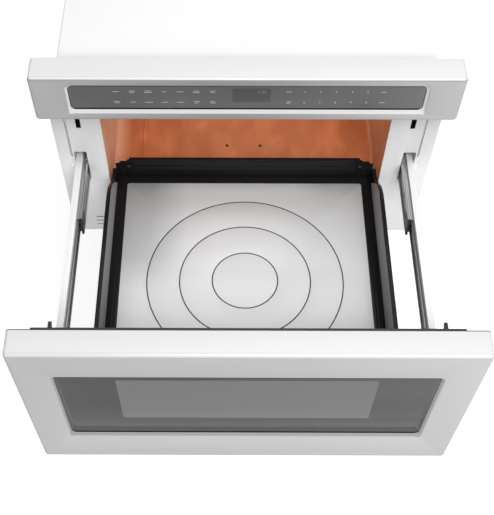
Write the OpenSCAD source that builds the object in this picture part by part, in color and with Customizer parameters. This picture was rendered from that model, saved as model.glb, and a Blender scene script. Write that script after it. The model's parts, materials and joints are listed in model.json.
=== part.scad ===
/* [Front] */
// Width of the drawer front and of the control panel
front_w = 606; // [600:1:612]
// Depth of the drawer front and of the control panel
front_t = 39.5; // [34:0.5:40]
// Height of the drawer front
door_h = 322; // [318:1:326]
// Height of the control panel
panel_h = 82.4; // [80:0.2:90]
// Gap between the drawer front and the control panel
panel_gap = 3.7; // [2:0.1:6]
// How far the drawer front hangs below the base
door_drop = 11; // [9:1:13]
// Radius of the front edges and corners
edge_r = 5.5; // [3:0.5:7]
// Wall of the two front housings
shell_t = 4; // [3:0.5:5]
// Thickness of the front wall behind the face
face_t = 10.5; // [9:0.5:12]

/* [Glass] */
// Width of the window glass and of the control glass
pane_w = 500; // [480:1:504]
// Height of the window glass
window_h = 179; // [170:1:184]
// Height of the control glass
keys_h = 46.5; // [44:0.5:50]
// Thickness of both front glasses
pane_t = 4; // [3:0.5:5]
// How far the glasses lie behind the face
pane_sink = 3.5; // [2:0.5:4]
// Corner radius of the glasses
pane_r = 7.5; // [3:0.5:8]
// Height of the bevel under a glass
bevel_low = 7; // [6:0.5:12]
// Width of the bevel beside and above a glass
bevel_side = 4.5; // [3:0.5:6]
// Width of the clear window area
view_w = 342; // [320:2:360]
// Height of the clear window area
view_h = 116; // [100:0.5:120]

/* [Chassis] */
// Width of the chassis
body_w = 545; // [544:0.5:546]
// Height of the chassis
body_h = 371; // [368:1:376]
// Depth of the chassis behind the front plate
body_d = 551.3; // [548:0.1:570]
// Sheet thickness of the covers
skin_t = 1; // [0.8:0.1:1.2]
// Sheet thickness of the front plate and of the base plate
sheet_t = 1.2; // [1:0.1:1.5]
// Width of the raised part of the front plate
plate_w = 546; // [544:1:550]
// Width of the front plate over its side flanges
flange_w = 590; // [586:1:594]
// Distance between the left and right mounting holes
mount_dx = 552; // [551:0.5:554]
// Distance between the low and high mounting holes
mount_dz = 105; // [95:1:115]
// Height of the low mounting holes above the base
mount_z = 60; // [52:1:64]
// Diameter of the mounting holes
mount_d = 5; // [4:0.5:6]

/* [Cavity] */
// Width inside the cavity
cav_w = 439.4; // [436:0.2:442]
// Depth inside the cavity
cav_d = 418.3; // [412:0.1:424]
// Height of the cavity floor above the base
cav_floor = 98; // [96:0.5:100]
// Height of the cavity mouth
mouth_h = 184; // [176:1:188]
// Radius of the long cavity edges
cav_r = 10; // [6:1:14]
// Sheet thickness of the cavity
cav_t = 1; // [0.8:0.1:1.2]

/* [Pan] */
// Width inside the pan
pan_w = 416; // [410:1:418]
// Depth of the pan from the drawer front to its rear wall
pan_d = 394; // [390:0.2:400]
// Width of the ledge between a side wall and the glass plate
ledge_w = 17; // [14:0.5:20]
// Depth of the ledge behind the glass plate
ledge_rear = 15.3; // [12:0.1:18]
// Thickness of the glass plate
tray_t = 5; // [4:0.5:6]
// Height of the top of the glass plate above the base
tray_z = 125.6; // [124:0.1:127]
// Height of the side walls above the glass plate
wall_h = 58; // [54:1:62]
// Height of the low rear end of the side walls above the glass plate
wall_low = 18.5; // [16:0.5:24]
// Height of the rear wall above the glass plate
rear_h = 40.7; // [36:0.1:44]
// Sheet thickness of the pan
pan_t = 1.2; // [1:0.1:1.5]

/* [Slides] */
// Travel of the drawer
travel = 382; // [370:0.5:386]
// Length of the fixed member and of the drawer member
slide_l = 527; // [500:1:540]
// Length of the middle member
mid_l = 450; // [440:1:460]
// How far the fixed slide members lie behind the front plate
slide_set = 4; // [3.5:0.5:8]
// Height of the slide's centre line above the base
slide_z = 154.5; // [153.5:0.5:155]
// Distance from the middle of the oven to the web of the fixed slide member
slide_x = 247; // [246.8:0.1:247.1]
// Steel thickness of the slide members
slide_t = 1.3; // [1.2:0.1:1.4]
// Radius of the large balls
ball_big = 2.2; // [2:0.1:2.3]
// Radius of the small balls
ball_small = 1.8; // [1.7:0.1:1.9]
// Clearance round a ball
ball_gap = 0.12; // [0.08:0.02:0.16]
// Half the height between the two rows of large balls
row_big = 18.3; // [18:0.1:18.5]
// Half the height between the two rows of small balls
row_small = 13.5; // [13:0.1:14]
// Number of balls in a row
balls = 7; // [5:1:8]
// Distance between balls
ball_pitch = 20; // [16:1:21]

/* [Drive] */
// Gear module of the rack and the pinion
gear_m = 2; // [2:0.5:2]
// Teeth on the pinion
pinion_teeth = 18; // [17:1:18]
// Height of the rack's pitch line above the base
rack_z = 48; // [47:0.5:50]
// Width of the rack
rack_w = 12; // [10:1:14]
// Distance of the pinion's axis behind the front plate
pinion_y = 43.5; // [40:0.5:48]
// Play between the flanks of the teeth
tooth_gap = 0.2; // [0.1:0.05:0.3]

/* [Hidden] */
$fn = 48;

// Small clearance between pieces that only lie near each other
near = 0.3;

// Heights of the two front housings
door_z0 = -door_drop;
door_z1 = door_h - door_drop;
panel_z0 = door_z1 + panel_gap;
panel_z1 = panel_z0 + panel_h;

// Places along the depth, with the panel's back plane at zero
plate_y = 1.5;
flange_y = 3.5;
body_y = flange_y + sheet_t;
body_y1 = body_y + body_d;
plate_back = plate_y + sheet_t;
face_y = -front_t;
pane_y = face_y + pane_sink;
wall_y = face_y + face_t;

// Places on the drawer front, which the drawer carries with it by its travel
cover_y = -1.5;
cover_t = 2.5;
seat_y = cover_y + cover_t;

// Glasses and clear area
window_z0 = 71;
keys_z0 = panel_z0 + 19.7;
view_z0 = window_z0 + 51.5;

// Cavity and mouth
mouth_z0 = cav_floor + 2;
mouth_z1 = mouth_z0 + mouth_h;
roof_lift = 22;
cav_z1 = mouth_z1 + roof_lift;
cav_y1 = plate_back + cav_d;
roof_top = cav_z1 + cav_t;

// Slide openings, latch slots, rack slot and intake slots in the front plate
slot_gap = 0.5;
slot_z0 = 131;
slot_z1 = 199;
latch_x = 254;
latch_z = 284;
latch_w = 7.5;
latch_z0 = latch_z - 31;
latch_z1 = latch_z + 16;
rack_slot_w = 44;
rack_slot_z0 = 40;
rack_slot_z1 = 70;
vent_x0 = -255;
vent_l = 150;
vent_h = 2.6;
vent_zs = [8.3, 18.5, 28.7];

// Slide section: rows of balls and the webs beside them
ring_big = ball_big + ball_gap;
ring_small = ball_small + ball_gap;
big_x = slide_x + slide_t + ring_big;
mid_web = big_x + ring_big;
small_x = mid_web + slide_t + ring_small;
in_web = small_x + ring_small;
arm_web = in_web + slide_t;
arm_t = 1.5;
arm_h = 40;
arm_z1 = slide_z + arm_h / 2;
arm_flange = 10.1;
rail_y0 = plate_y + slide_set;
rail_y1 = rail_y0 + slide_l;
mid_y0 = rail_y1 - mid_l;
rail_holes = [30, 200, 350, 500];
arm_holes = [117, 302, 487];
slot_x0 = big_x - 0.5 - slot_gap;
slot_x1 = arm_web + arm_flange + slot_gap;
row_l = (balls - 1) * ball_pitch;

// Drive
pinion_r = gear_m * pinion_teeth / 2;
pinion_z = rack_z - pinion_r;
pinion_at = plate_y + pinion_y;
tooth_pitch = PI * gear_m;
rack_top = rack_z + 18;
shaft_r = 4;
shaft_gap = 0.08;

// Waveguide, stirrer and magnetron
guide_w = 87;
guide_h = 44;
guide_t = 1.2;
guide_z1 = roof_top + guide_h;
stir_y = 210;
stir_r = 80;
mag_y = 487.5;

// Basic solids and outlines
module span(lo, hi) translate(lo) cube(hi - lo);

module along_y(y0, y1) translate([0, y1, 0]) rotate([90, 0, 0]) linear_extrude(y1 - y0) children();

module along_x(x0, x1) translate([x0, 0, 0]) rotate([90, 0, 90]) linear_extrude(x1 - x0) children();

module rod_y(x, z, y0, y1, r) translate([x, y0, z]) rotate([-90, 0, 0]) cylinder(r = r, h = y1 - y0);

module rod_x(y, z, x0, x1, r) translate([x0, y, z]) rotate([0, 90, 0]) cylinder(r = r, h = x1 - x0);

module rod_z(x, y, z0, z1, r) translate([x, y, z0]) cylinder(r = r, h = z1 - z0);

module both_sides() {
    children();
    mirror([1, 0, 0]) children();
}

module round_rect(lo, hi, r) {
    translate([lo.x + r, lo.y]) square([hi.x - lo.x - 2 * r, hi.y - lo.y]);
    translate([lo.x, lo.y + r]) square([hi.x - lo.x, hi.y - lo.y - 2 * r]);
    for (x = [lo.x + r, hi.x - r], y = [lo.y + r, hi.y - r]) translate([x, y]) circle(r);
}

// A screw with a pan head whose underside lies on the plane at zero and whose shank points down
module screw(head_r, head_h, shank_r, shank_l) {
    cylinder(r = head_r, h = head_h);
    translate([0, 0, -shank_l]) cylinder(r = shank_r, h = shank_l);
}

// Front housing: a hollow block with rounded front edges and a bevelled well for its glass
module housing(z0, z1, back_y, glass_z0, glass_h) {
    in_x = front_w / 2 - edge_r;
    well_z0 = max(glass_z0 - bevel_low - 3, z0 + shell_t - 1);
    well_z1 = min(glass_z0 + glass_h + bevel_side + 3, z1 - shell_t + 1);
    difference() {
        union() {
            difference() {
                union() {
                    along_y(face_y + edge_r, back_y)
                        round_rect([-front_w / 2, z0], [front_w / 2, z1], edge_r);
                    span([-in_x, face_y, z0 + edge_r], [in_x, face_y + edge_r + 1, z1 - edge_r]);
                    for (z = [z0 + edge_r, z1 - edge_r]) rod_x(face_y + edge_r, z, -in_x, in_x, edge_r);
                    both_sides() rod_z(in_x, face_y + edge_r, z0 + edge_r, z1 - edge_r, edge_r);
                    both_sides() for (z = [z0 + edge_r, z1 - edge_r])
                        translate([in_x, face_y + edge_r, z]) sphere(edge_r);
                }
                span([-front_w / 2 + shell_t, face_y + shell_t, z0 + shell_t],
                    [front_w / 2 - shell_t, back_y + 1, z1 - shell_t]);
            }
            span([-pane_w / 2 - bevel_side - 3, face_y + shell_t - 1, well_z0],
                [pane_w / 2 + bevel_side + 3, wall_y, well_z1]);
        }
        recess(glass_z0, glass_h);
        along_y(pane_y - near, pane_y + pane_t)
            round_rect([-pane_w / 2 - near, glass_z0 - near],
                [pane_w / 2 + near, glass_z0 + glass_h + near], pane_r);
    }
}

// Bevelled recess that leads from the face down to the glass
module recess(glass_z0, glass_h) {
    hull() {
        along_y(pane_y - 0.5, pane_y)
            round_rect([-pane_w / 2 - 1, glass_z0 - 1], [pane_w / 2 + 1, glass_z0 + glass_h + 1], pane_r);
        along_y(face_y - 0.5, face_y)
            round_rect([-pane_w / 2 - bevel_side, glass_z0 - bevel_low],
                [pane_w / 2 + bevel_side, glass_z0 + glass_h + bevel_side], pane_r + 3);
    }
}

module pane(z0, h) {
    along_y(pane_y, pane_y + pane_t) round_rect([-pane_w / 2, z0], [pane_w / 2, z0 + h], pane_r);
}

// The drawer is modelled drawn out: its pieces are placed as if closed and then moved by the travel
module drawn_out() translate([0, -travel, 0]) children();

// Base plate: a tray with a low front lip that stays below the intake slots
tray_lip = 14;
front_lip = 6;
lip_x = plate_w / 2 - 11;

module base_plate() {
    edge = body_w / 2 - skin_t;
    color("silver") difference() {
        union() {
            span([-edge, body_y, 0], [edge, body_y1, tray_lip]);
            span([-lip_x, plate_back, 1], [lip_x, body_y + sheet_t, front_lip]);
        }
        span([-edge + sheet_t, body_y + sheet_t, sheet_t], [edge - sheet_t, body_y1 - sheet_t, tray_lip + 1]);
        span([-edge + sheet_t, plate_back - 1, front_lip],
            [edge - sheet_t, body_y + sheet_t + 1, tray_lip + 1]);
        for (i = [0:9], x = [-210, 120]) span([x, 300 + i * 12, -1], [x + 90, 304 + i * 12, sheet_t + 1]);
    }
}

module cover_screw_holes(r, y0, y1) {
    for (z = [25, 130, 240, 345]) both_sides() rod_y(body_w / 2 - 7, z, y0, y1, r);
    both_sides() rod_y(140, body_h - 7, y0, y1, r);
}

module outer_cover() {
    out_x = body_w / 2;
    in_x = out_x - skin_t;
    color("silver") difference() {
        along_y(body_y, body_y1) difference() {
            round_rect([-out_x, -20], [out_x, body_h], 3);
            round_rect([-in_x, -21], [in_x, body_h - skin_t], 2);
            translate([-out_x - 1, -22]) square([body_w + 2, 22]);
        }
        for (i = [0:7]) both_sides() span([in_x - 1, 470 + i * 8, 60], [out_x + 1, 473 + i * 8, 110]);
    }
    color("silver") difference() {
        along_y(body_y1 - skin_t, body_y1) difference() {
            round_rect([-in_x, -20], [in_x, body_h - skin_t], 2);
            round_rect([-in_x + 13, -21], [in_x - 13, body_h - skin_t - 13], 2);
            translate([-out_x - 1, -22]) square([body_w + 2, 22 + 14]);
        }
        cover_screw_holes(1.3, body_y1 - 5, body_y1 + 5);
    }
}

module rear_cover() {
    color("silver") difference() {
        union() {
            along_y(body_y1, body_y1 + skin_t) round_rect([-body_w / 2, 0], [body_w / 2, body_h], 3);
            along_y(body_y1, body_y1 + 5) difference() {
                round_rect([-256, 190], [-60, 340], 12);
                round_rect([-253, 193], [-63, 337], 9);
            }
        }
        for (i = [0:11], x = [-246, -183, -120])
            span([x, body_y1 - 1, 203 + i * 11], [x + 50, body_y1 + 6, 207 + i * 11]);
        for (i = [0:9], x = [60, 140])
            span([x, body_y1 - 1, 40 + i * 11], [x + 60, body_y1 + 6, 44 + i * 11]);
        rod_y(bush_x, bush_z, body_y1 - 1, body_y1 + 6, bush_r + near);
        cover_screw_holes(1.8, body_y1 - 1, body_y1 + 6);
    }
}

// Cord entry in the rear cover
bush_x = 200;
bush_z = 300;
bush_r = 10;
bush_bore = 4.5;

module cord_bush() {
    color("dimgray") difference() {
        union() {
            rod_y(bush_x, bush_z, body_y1 - 12, body_y1 + 9, bush_r);
            rod_y(bush_x, bush_z, body_y1 + skin_t, body_y1 + 4, bush_r + 4);
            rod_y(bush_x, bush_z, body_y1 - 4, body_y1, bush_r + 2);
        }
        rod_y(bush_x, bush_z, body_y1 - 13, body_y1 + 10, bush_bore);
    }
}

// Screws: rear cover, and the two in the cavity floor that hold the motor bracket
floor_screw_x = 28.5;
floor_screw_y = 103;

module chassis_screws() {
    color("gray") {
        for (z = [25, 130, 240, 345]) both_sides() translate([body_w / 2 - 7, body_y1 + skin_t, z])
            rotate([-90, 0, 0]) screw(3.4, 2, 1.2, 6);
        both_sides() translate([140, body_y1 + skin_t, body_h - 7]) rotate([-90, 0, 0]) screw(3.4, 2, 1.2, 6);
        both_sides() translate([floor_screw_x, floor_screw_y, cav_floor]) screw(2.6, 1.4, 1.4, 5);
    }
}

// Width of the flat ring round each mounting hole, and the slit between the raised part and a side flange
relief = 2;
slit_w = 1.3;
flange_z1 = 385;
slit_z0 = 188;
slit_z1 = panel_z0 + 12;

// Outline of the front plate's raised part, with cut lower corners and reliefs round the mounting holes
module raised_outline(grow) {
    difference() {
        translate([-plate_w / 2 - grow, -2.7 - grow]) square([plate_w + 2 * grow, body_h + 8 + 2 * grow]);
        both_sides() translate([plate_w / 2 + grow, -2.7 - grow]) rotate(20) square([12, 22], center = true);
        both_sides() for (z = [mount_z, mount_z + mount_dz])
            translate([mount_dx / 2, z]) circle(mount_d / 2 + relief - grow);
    }
}

module front_plate() {
    color("gainsboro") difference() {
        union() {
            along_y(flange_y, flange_y + sheet_t)
                round_rect([-flange_w / 2, door_z0], [flange_w / 2, flange_z1], 3);
            along_y(plate_y, flange_y + sheet_t) raised_outline(0);
        }
        along_y(plate_back, flange_y + sheet_t + 1) raised_outline(-sheet_t);
        along_y(-1, 8) {
            round_rect([-cav_w / 2, mouth_z0], [cav_w / 2, mouth_z1], cav_r - 2);
            both_sides() round_rect([slot_x0, slot_z0], [slot_x1, slot_z1], 3);
            both_sides() translate([latch_x - latch_w / 2, latch_z0]) square([latch_w, latch_z1 - latch_z0]);
            both_sides() translate([plate_w / 2, slit_z0]) square([slit_w, slit_z1 - slit_z0]);
            round_rect([-rack_slot_w / 2, rack_slot_z0], [rack_slot_w / 2, rack_slot_z1], 3);
            for (z = vent_zs) round_rect([vent_x0, z - vent_h / 2], [vent_x0 + vent_l, z + vent_h / 2], 1.2);
            both_sides() for (z = [mount_z, mount_z + mount_dz])
                translate([mount_dx / 2, z]) circle(mount_d / 2);
            both_sides() translate([boss_x, boss_z]) circle(2);
        }
    }
}

// Cavity with rounded long edges, a pressed bead in the floor, a lamp grille and the feed holes
module cavity_outline(grow) {
    round_rect([-cav_w / 2 - grow, cav_floor - grow], [cav_w / 2 + grow, cav_z1 + grow], cav_r + grow);
}

cav_lip = 12;

module oven_cavity() {
    color("peru") difference() {
        union() {
            along_y(plate_back, cav_y1 + cav_t) cavity_outline(cav_t);
            span([-cav_w / 2 - cav_lip, plate_back, cav_floor - cav_lip],
                [cav_w / 2 + cav_lip, plate_back + cav_t, cav_z1 + cav_lip]);
        }
        along_y(plate_back - 1, cav_y1) cavity_outline(0);
        for (y = [-12:6:12], z = [-12:6:12])
            rod_x(lamp_y + y, lamp_z + z, cav_w / 2 - 2, cav_w / 2 + 3, 1.5);
        for (i = [0:9], j = [0:2]) rod_x(340 + i * 7, 250 + j * 7, -cav_w / 2 - 3, -cav_w / 2 + 2, 1.5);
        span([-38, stir_y - 38, cav_z1 - 1], [38, stir_y + 38, roof_top + 1]);
        both_sides() rod_z(floor_screw_x, floor_screw_y, cav_floor - 3, cav_floor + 1, 1.7);
    }
    color("peru") along_y(plate_back + 20, cav_y1 - 20) translate([-172.5, cav_floor]) intersection() {
        translate([0, -2]) circle(3);
        translate([-3, 0]) square([6, 2]);
    }
}

// Control panel
boss_x = pane_w / 2 - 3;
boss_z = keys_z0 + keys_h / 2;
keys_rest_x = 12;
keys_rest_z = 5;

module control_frame() {
    color("whitesmoke") difference() {
        union() {
            housing(panel_z0, panel_z1, plate_y, keys_z0, keys_h);
            both_sides() rod_y(boss_x, boss_z, wall_y - 1, plate_y, 5);
            for (x = [-180, -60, 60, 180])
                span([x, wall_y - 1, panel_z0 + shell_t - 1], [x + 2, plate_y - 12, panel_z0 + 14]);
        }
        span([-pane_w / 2 + keys_rest_x, pane_y, keys_z0 + keys_rest_z],
            [pane_w / 2 - keys_rest_x, wall_y + 1, keys_z0 + keys_h - keys_rest_z]);
        both_sides() rod_y(boss_x, boss_z, wall_y + 2, plate_y + 1, 1.5);
    }
}

module control_glass() color("dimgray") pane(keys_z0, keys_h);

module control_board() {
    pcb_y = pane_y + pane_t;
    pcb_x = pane_w / 2 - keys_rest_x - 2;
    pcb_z = keys_rest_z + 1;
    chip_x0 = -150;
    chip_pitch = 34;
    face = pcb_y + board_t;
    color("seagreen") span([-pcb_x, pcb_y, keys_z0 + pcb_z], [pcb_x, face, keys_z0 + keys_h - pcb_z]);
    color("black") span([-26, face, keys_z0 + 9], [40, face + 7.4, keys_z0 + 40]);
    color("ivory") span([90, face, keys_z0 + 10], [130, face + 9.4, keys_z0 + 18]);
    color("black") for (x = [chip_x0:chip_pitch:chip_x0 + 3 * chip_pitch])
        span([x, face, keys_z0 + 16], [x + 12, face + 2.4, keys_z0 + 28]);
}

// Boards
board_t = 1.6;
foot_h = 6;
power_x = 65;
power_y = 35;
power_w = 170;
power_d = 160;
filter_x = 172;
filter_y = 442;
filter_w = 86;
filter_d = 96;
filter_z = 9;
toroid_r = 12;
toroid_t = 6;

module standoffs(xs, ys, z0, z1) {
    for (x = xs, y = ys) rod_z(x, y, z0, z1, 3);
}

module power_board() {
    z0 = roof_top;
    z1 = z0 + foot_h + board_t;
    x1 = power_x + power_w;
    y1 = power_y + power_d;
    color("ivory") standoffs([power_x + 10, x1 - 10], [power_y + 10, y1 - 10], z0, z0 + foot_h);
    color("seagreen") span([power_x, power_y, z0 + foot_h], [x1, y1, z1]);
    color("black") for (i = [0:3])
        translate([power_x + 20 + i * 36, power_y + 105, z1]) cube([20, 28, 16.4]);
    color("goldenrod") translate([power_x + 25, power_y + 20, z1]) cube([45, 40, 32.4]);
    color("navy") for (i = [0:1]) rod_z(power_x + 100 + i * 30, power_y + 40, z1, z1 + 26.4, 10);
}

module noise_filter() {
    x1 = filter_x + filter_w;
    y1 = filter_y + filter_d;
    z1 = filter_z + board_t;
    color("ivory") standoffs([filter_x + 8, x1 - 8], [filter_y + 8, y1 - 8], sheet_t, filter_z);
    color("seagreen") span([filter_x, filter_y, filter_z], [x1, y1, z1]);
    color("goldenrod") translate([filter_x + 8, filter_y + 38, z1]) cube([32, 25, 19.4]);
    color("brown") translate([filter_x + 60, filter_y + 38, z1]) rotate_extrude()
        translate([toroid_r, toroid_t]) circle(toroid_t);
    color("ivory") span([filter_x + 13, y1 - 23, z1], [x1 - 13, y1 - 8, z1 + 15.4]);
}

// Stirrer, waveguide and magnetron
module stirrer_cover() {
    color("wheat") difference() {
        rod_z(0, stir_y, cav_z1 - 13, cav_z1, stir_r + 20);
        rod_z(0, stir_y, cav_z1 - 11.6, cav_z1 + 1, stir_r + 18.6);
    }
}

module stirrer_blade() {
    color("silver") translate([0, stir_y, 0]) {
        rod_z(0, 0, cav_z1 - 9, guide_z1 + near, 3);
        rod_z(0, 0, cav_z1 - 9, cav_z1 - 3, 8);
        for (i = [0:3]) rotate(i * 90) {
            translate([6, -12, cav_z1 - 7]) cube([stir_r - 8, 24, 1]);
            translate([stir_r - 26, 0, cav_z1 - 6.6]) rotate([8, 0, 0])
                translate([0, 8, 0]) cube([22, 14, 1]);
        }
    }
}

module stirrer_motor() {
    color("gray") difference() {
        union() {
            rod_z(0, stir_y, guide_z1, guide_z1 + 14, 24);
            span([-33, stir_y - 5, guide_z1], [33, stir_y + 5, guide_z1 + 1.2]);
            span([-9, stir_y + 20, guide_z1 + 2], [9, stir_y + 32, guide_z1 + 11]);
        }
        rod_z(0, stir_y, guide_z1 - 1, guide_z1 + 6, 3 + shaft_gap);
    }
}

module waveguide() {
    y0 = stir_y - 45;
    y1 = mag_y + 48;
    color("silver") difference() {
        union() {
            span([-guide_w / 2, y0, roof_top], [guide_w / 2, y1, guide_z1]);
            span([-guide_w / 2 - 10, y0, roof_top], [guide_w / 2 + 10, cav_y1 - 10, roof_top + guide_t]);
        }
        span([-guide_w / 2 + guide_t, y0 + guide_t, roof_top + guide_t],
            [guide_w / 2 - guide_t, y1 - guide_t, guide_z1 - guide_t]);
        span([-38, stir_y - 38, roof_top - 1], [38, stir_y + 38, roof_top + 3]);
        rod_z(0, mag_y, roof_top - 1, roof_top + 3, 13);
        rod_z(0, stir_y, guide_z1 - 3, guide_z1 + 1, 3.5);
    }
}

mag_w = 80;
mag_l = 90;
mag_h = 84;
yoke_t = 2.5;
plate_gap = 4;
fin_pitch = 6;
fin_t = 0.8;
fin_count = 9;
anode_r = 20;
box_w = 64;
box_l = 54;
box_h = 28;
box_t = 1.5;

module magnetron() {
    top = roof_top;
    low = top - mag_h;
    fin_x = mag_w / 2 - plate_gap;
    fin_y = mag_l / 2 - yoke_t;
    color("silver") difference() {
        span([-mag_w / 2, mag_y - mag_l / 2, low], [mag_w / 2, mag_y + mag_l / 2, top]);
        span([-mag_w / 2 - 1, mag_y - fin_y, low + plate_gap], [mag_w / 2 + 1, mag_y + fin_y, top - 2]);
    }
    color("gray") for (z = [low + 18:fin_pitch:low + 18 + (fin_count - 1) * fin_pitch])
        span([-fin_x, mag_y - fin_y, z], [fin_x, mag_y + fin_y, z + fin_t]);
    color("firebrick") rod_z(0, mag_y, low + plate_gap, top - 2, anode_r);
    color("silver") rod_z(0, mag_y, top, top + 14, 9.5);
    color("silver") rod_z(0, mag_y, top + 14, top + 26, 7);
    color("silver") difference() {
        span([-box_w / 2, mag_y - box_l / 2, low - box_h], [box_w / 2, mag_y + box_l / 2, low]);
        span([-box_w / 2 + box_t, mag_y - box_l / 2 + box_t, low - box_h + box_t],
            [box_w / 2 - box_t, mag_y + box_l / 2 - box_t, low - box_t]);
    }
    color("black") rod_x(mag_y, low - box_h / 2, box_w / 2, box_w / 2 + 8, 9);
}

// High-voltage parts
core_x = -172;
core_y = 458;
core_z = 8;
core_w = 96;
core_l = 54;
core_h = 74;
limb_w = 16;
core_slot_z = 24;
core_slot_h = 42;
coil_over = 12;
coil_r = 5;
cap_x = 60;
cap_y = 450;
cap_w = 52;
cap_d = 33;
cap_h = 92;
cap_r = 16.4;
strap_t = 6;
tab_w = 6;
diode_x = 140;
diode_y = 452;

module hv_transformer() {
    x1 = core_x + core_w;
    y1 = core_y + core_l;
    z1 = core_slot_z + core_slot_h;
    limb_x0 = core_x + 2 * limb_w;
    limb_x1 = x1 - 2 * limb_w;
    color("dimgray") difference() {
        span([core_x, core_y, core_z], [x1, y1, core_z + core_h]);
        for (x = [core_x + limb_w, x1 - 2 * limb_w])
            span([x, core_y - 1, core_slot_z], [x + limb_w, y1 + 1, z1]);
    }
    color("chocolate") difference() {
        along_y(core_y - coil_over, y1 + coil_over)
            round_rect([core_x + limb_w + 2, core_slot_z + 2], [x1 - limb_w - 2, z1 - 2], coil_r);
        span([limb_x0 - 1, core_y, core_slot_z - 4], [limb_x1 + 1, y1, z1 + 4]);
    }
    color("gray") for (y = [core_y, y1 - 12]) span([core_x - 10, y, sheet_t], [x1 + 10, y + 12, core_z]);
}

module hv_capacitor() {
    x1 = cap_x + cap_w;
    y1 = cap_y + cap_d;
    mid_y = cap_y + cap_d / 2;
    top = sheet_t + cap_h;
    tabs = [cap_x + strap_t + 10, x1 - strap_t - 10];
    color("silver") translate([0, 0, sheet_t]) linear_extrude(cap_h)
        round_rect([cap_x, cap_y], [x1, y1], cap_r);
    color("ivory") for (x = tabs) rod_z(x, mid_y, top, top + 8, 5);
    color("gray") for (x = tabs)
        span([x - tab_w / 2, mid_y - 0.5, top + 8], [x + tab_w / 2, mid_y + 0.5, top + 17]);
    color("gray") difference() {
        span([cap_x - strap_t, cap_y - 4, sheet_t], [x1 + strap_t, y1 + 4, 14]);
        translate([0, 0, sheet_t - 1]) linear_extrude(20) round_rect([cap_x, cap_y], [x1, y1], cap_r);
    }
}

module hv_diode() {
    lug_y = diode_y + 34;
    color("black") rod_y(diode_x, sheet_t + 5, diode_y, diode_y + 22, 4.8);
    color("silver") rod_y(diode_x, sheet_t + 5, diode_y + 22, lug_y, 0.8);
    color("silver") difference() {
        span([diode_x - 6, lug_y, sheet_t], [diode_x + 6, lug_y + 12, sheet_t + 1]);
        rod_z(diode_x, lug_y + 7, 0, 5, 2.2);
    }
    color("silver") span([diode_x - 1.2, lug_y - 1, sheet_t], [diode_x + 1.2, lug_y + 1, sheet_t + 5.6]);
}

// Cooling fan: its duct leads to the magnetron's fins
fan_y = mag_y;
fan_z = roof_top - 45;
fan_r = 41;
duct_s = 45;
duct_x0 = -130;
duct_x1 = -40;
duct_t = 1.5;
coil_w = 44;

module fan_duct() {
    color("darkgray") difference() {
        span([duct_x0, fan_y - duct_s, fan_z - duct_s + 3], [duct_x1, fan_y + duct_s, fan_z + duct_s]);
        span([duct_x0 + 18, fan_y - duct_s + duct_t, fan_z - duct_s + 3 + duct_t],
            [duct_x1 + 1, fan_y + duct_s - duct_t, fan_z + duct_s - duct_t]);
        rod_x(fan_y, fan_z, duct_x0 - 1, duct_x0 + 30, fan_r);
    }
    color("darkgray") difference() {
        union() {
            span([duct_x0 - 3, fan_y - duct_s, fan_z - 5], [duct_x0, fan_y + duct_s, fan_z + 5]);
            rod_x(fan_y, fan_z, duct_x0 - 3, duct_x0, 16);
        }
        rod_x(fan_y, fan_z, duct_x0 - 4, duct_x0 + 1, 5);
    }
}

module fan_motor() {
    x1 = duct_x0 - 3;
    color("dimgray") difference() {
        union() {
            span([x1 - 30, fan_y - 28, fan_z - 25], [x1 - 12, fan_y + 28, fan_z + 25]);
            rod_x(fan_y, fan_z, x1 - 40, x1, 11);
        }
        rod_x(fan_y, fan_z, x1 - 36, x1 + 1, 2 + shaft_gap);
    }
    color("chocolate")
        span([x1 - 34, fan_y - coil_w / 2, fan_z + 25], [x1 - 8, fan_y + coil_w / 2, fan_z + 32]);
}

module fan_blade() {
    x0 = duct_x0 + 1.5;
    color("black") {
        rod_x(fan_y, fan_z, duct_x0 - 36, x0 + 14, 2);
        rod_x(fan_y, fan_z, x0, x0 + 14, 11);
        translate([x0 + 7, fan_y, fan_z]) for (i = [0:6]) rotate([i * 360 / 7, 0, 0])
            rotate([0, 0, 32]) translate([-0.8, -7, 8]) cube([1.6, 14, fan_r - 10.5]);
    }
}

// Lamp on the right cavity wall
lamp_y = 300;
lamp_z = 245;
lamp_l = 44;
lamp_h = 40;
lamp_d = 26;
lamp_t = 1.2;

module oven_lamp() {
    x0 = cav_w / 2 + cav_t;
    color("silver") difference() {
        span([x0, lamp_y - lamp_l / 2, lamp_z - lamp_h / 2],
            [x0 + lamp_d, lamp_y + lamp_l / 2, lamp_z + lamp_h / 2]);
        span([x0 - 1, lamp_y - lamp_l / 2 + lamp_t, lamp_z - lamp_h / 2 + lamp_t],
            [x0 + lamp_d - lamp_t, lamp_y + lamp_l / 2 - lamp_t, lamp_z + lamp_h / 2 + 1]);
    }
    color("ivory") rod_x(lamp_y, lamp_z, x0 + 14, x0 + lamp_d - lamp_t, 8);
    color("lightyellow") translate([x0 + 9, lamp_y, lamp_z]) sphere(7);
}

module thermal_cutout() {
    color("ivory") rod_z(-120, 300, roof_top + 1, roof_top + 9, 8);
    color("silver") difference() {
        union() {
            rod_z(-120, 300, roof_top, roof_top + 1, 9);
            span([-134, 297, roof_top], [-106, 303, roof_top + 1]);
        }
        for (x = [-130.5, -109.5]) rod_z(x, 300, roof_top - 1, roof_top + 2, 1.6);
    }
    color("silver") for (x = [-124, -117]) span([x, 299.5, roof_top + 9], [x + 1, 304, roof_top + 17]);
}

// Telescopic slides: each section is drawn on the right side of the oven, round the slide's centre line
module ring_part(r, a0, a1) {
    reach = 2 * (r + slide_t);
    intersection() {
        difference() {
            circle(r + slide_t);
            circle(r);
        }
        polygon(concat([[0, 0]],
            [for (i = [0:6]) let (a = a0 + i * (a1 - a0) / 6) reach * [cos(a), sin(a)]]));
    }
}

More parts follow.
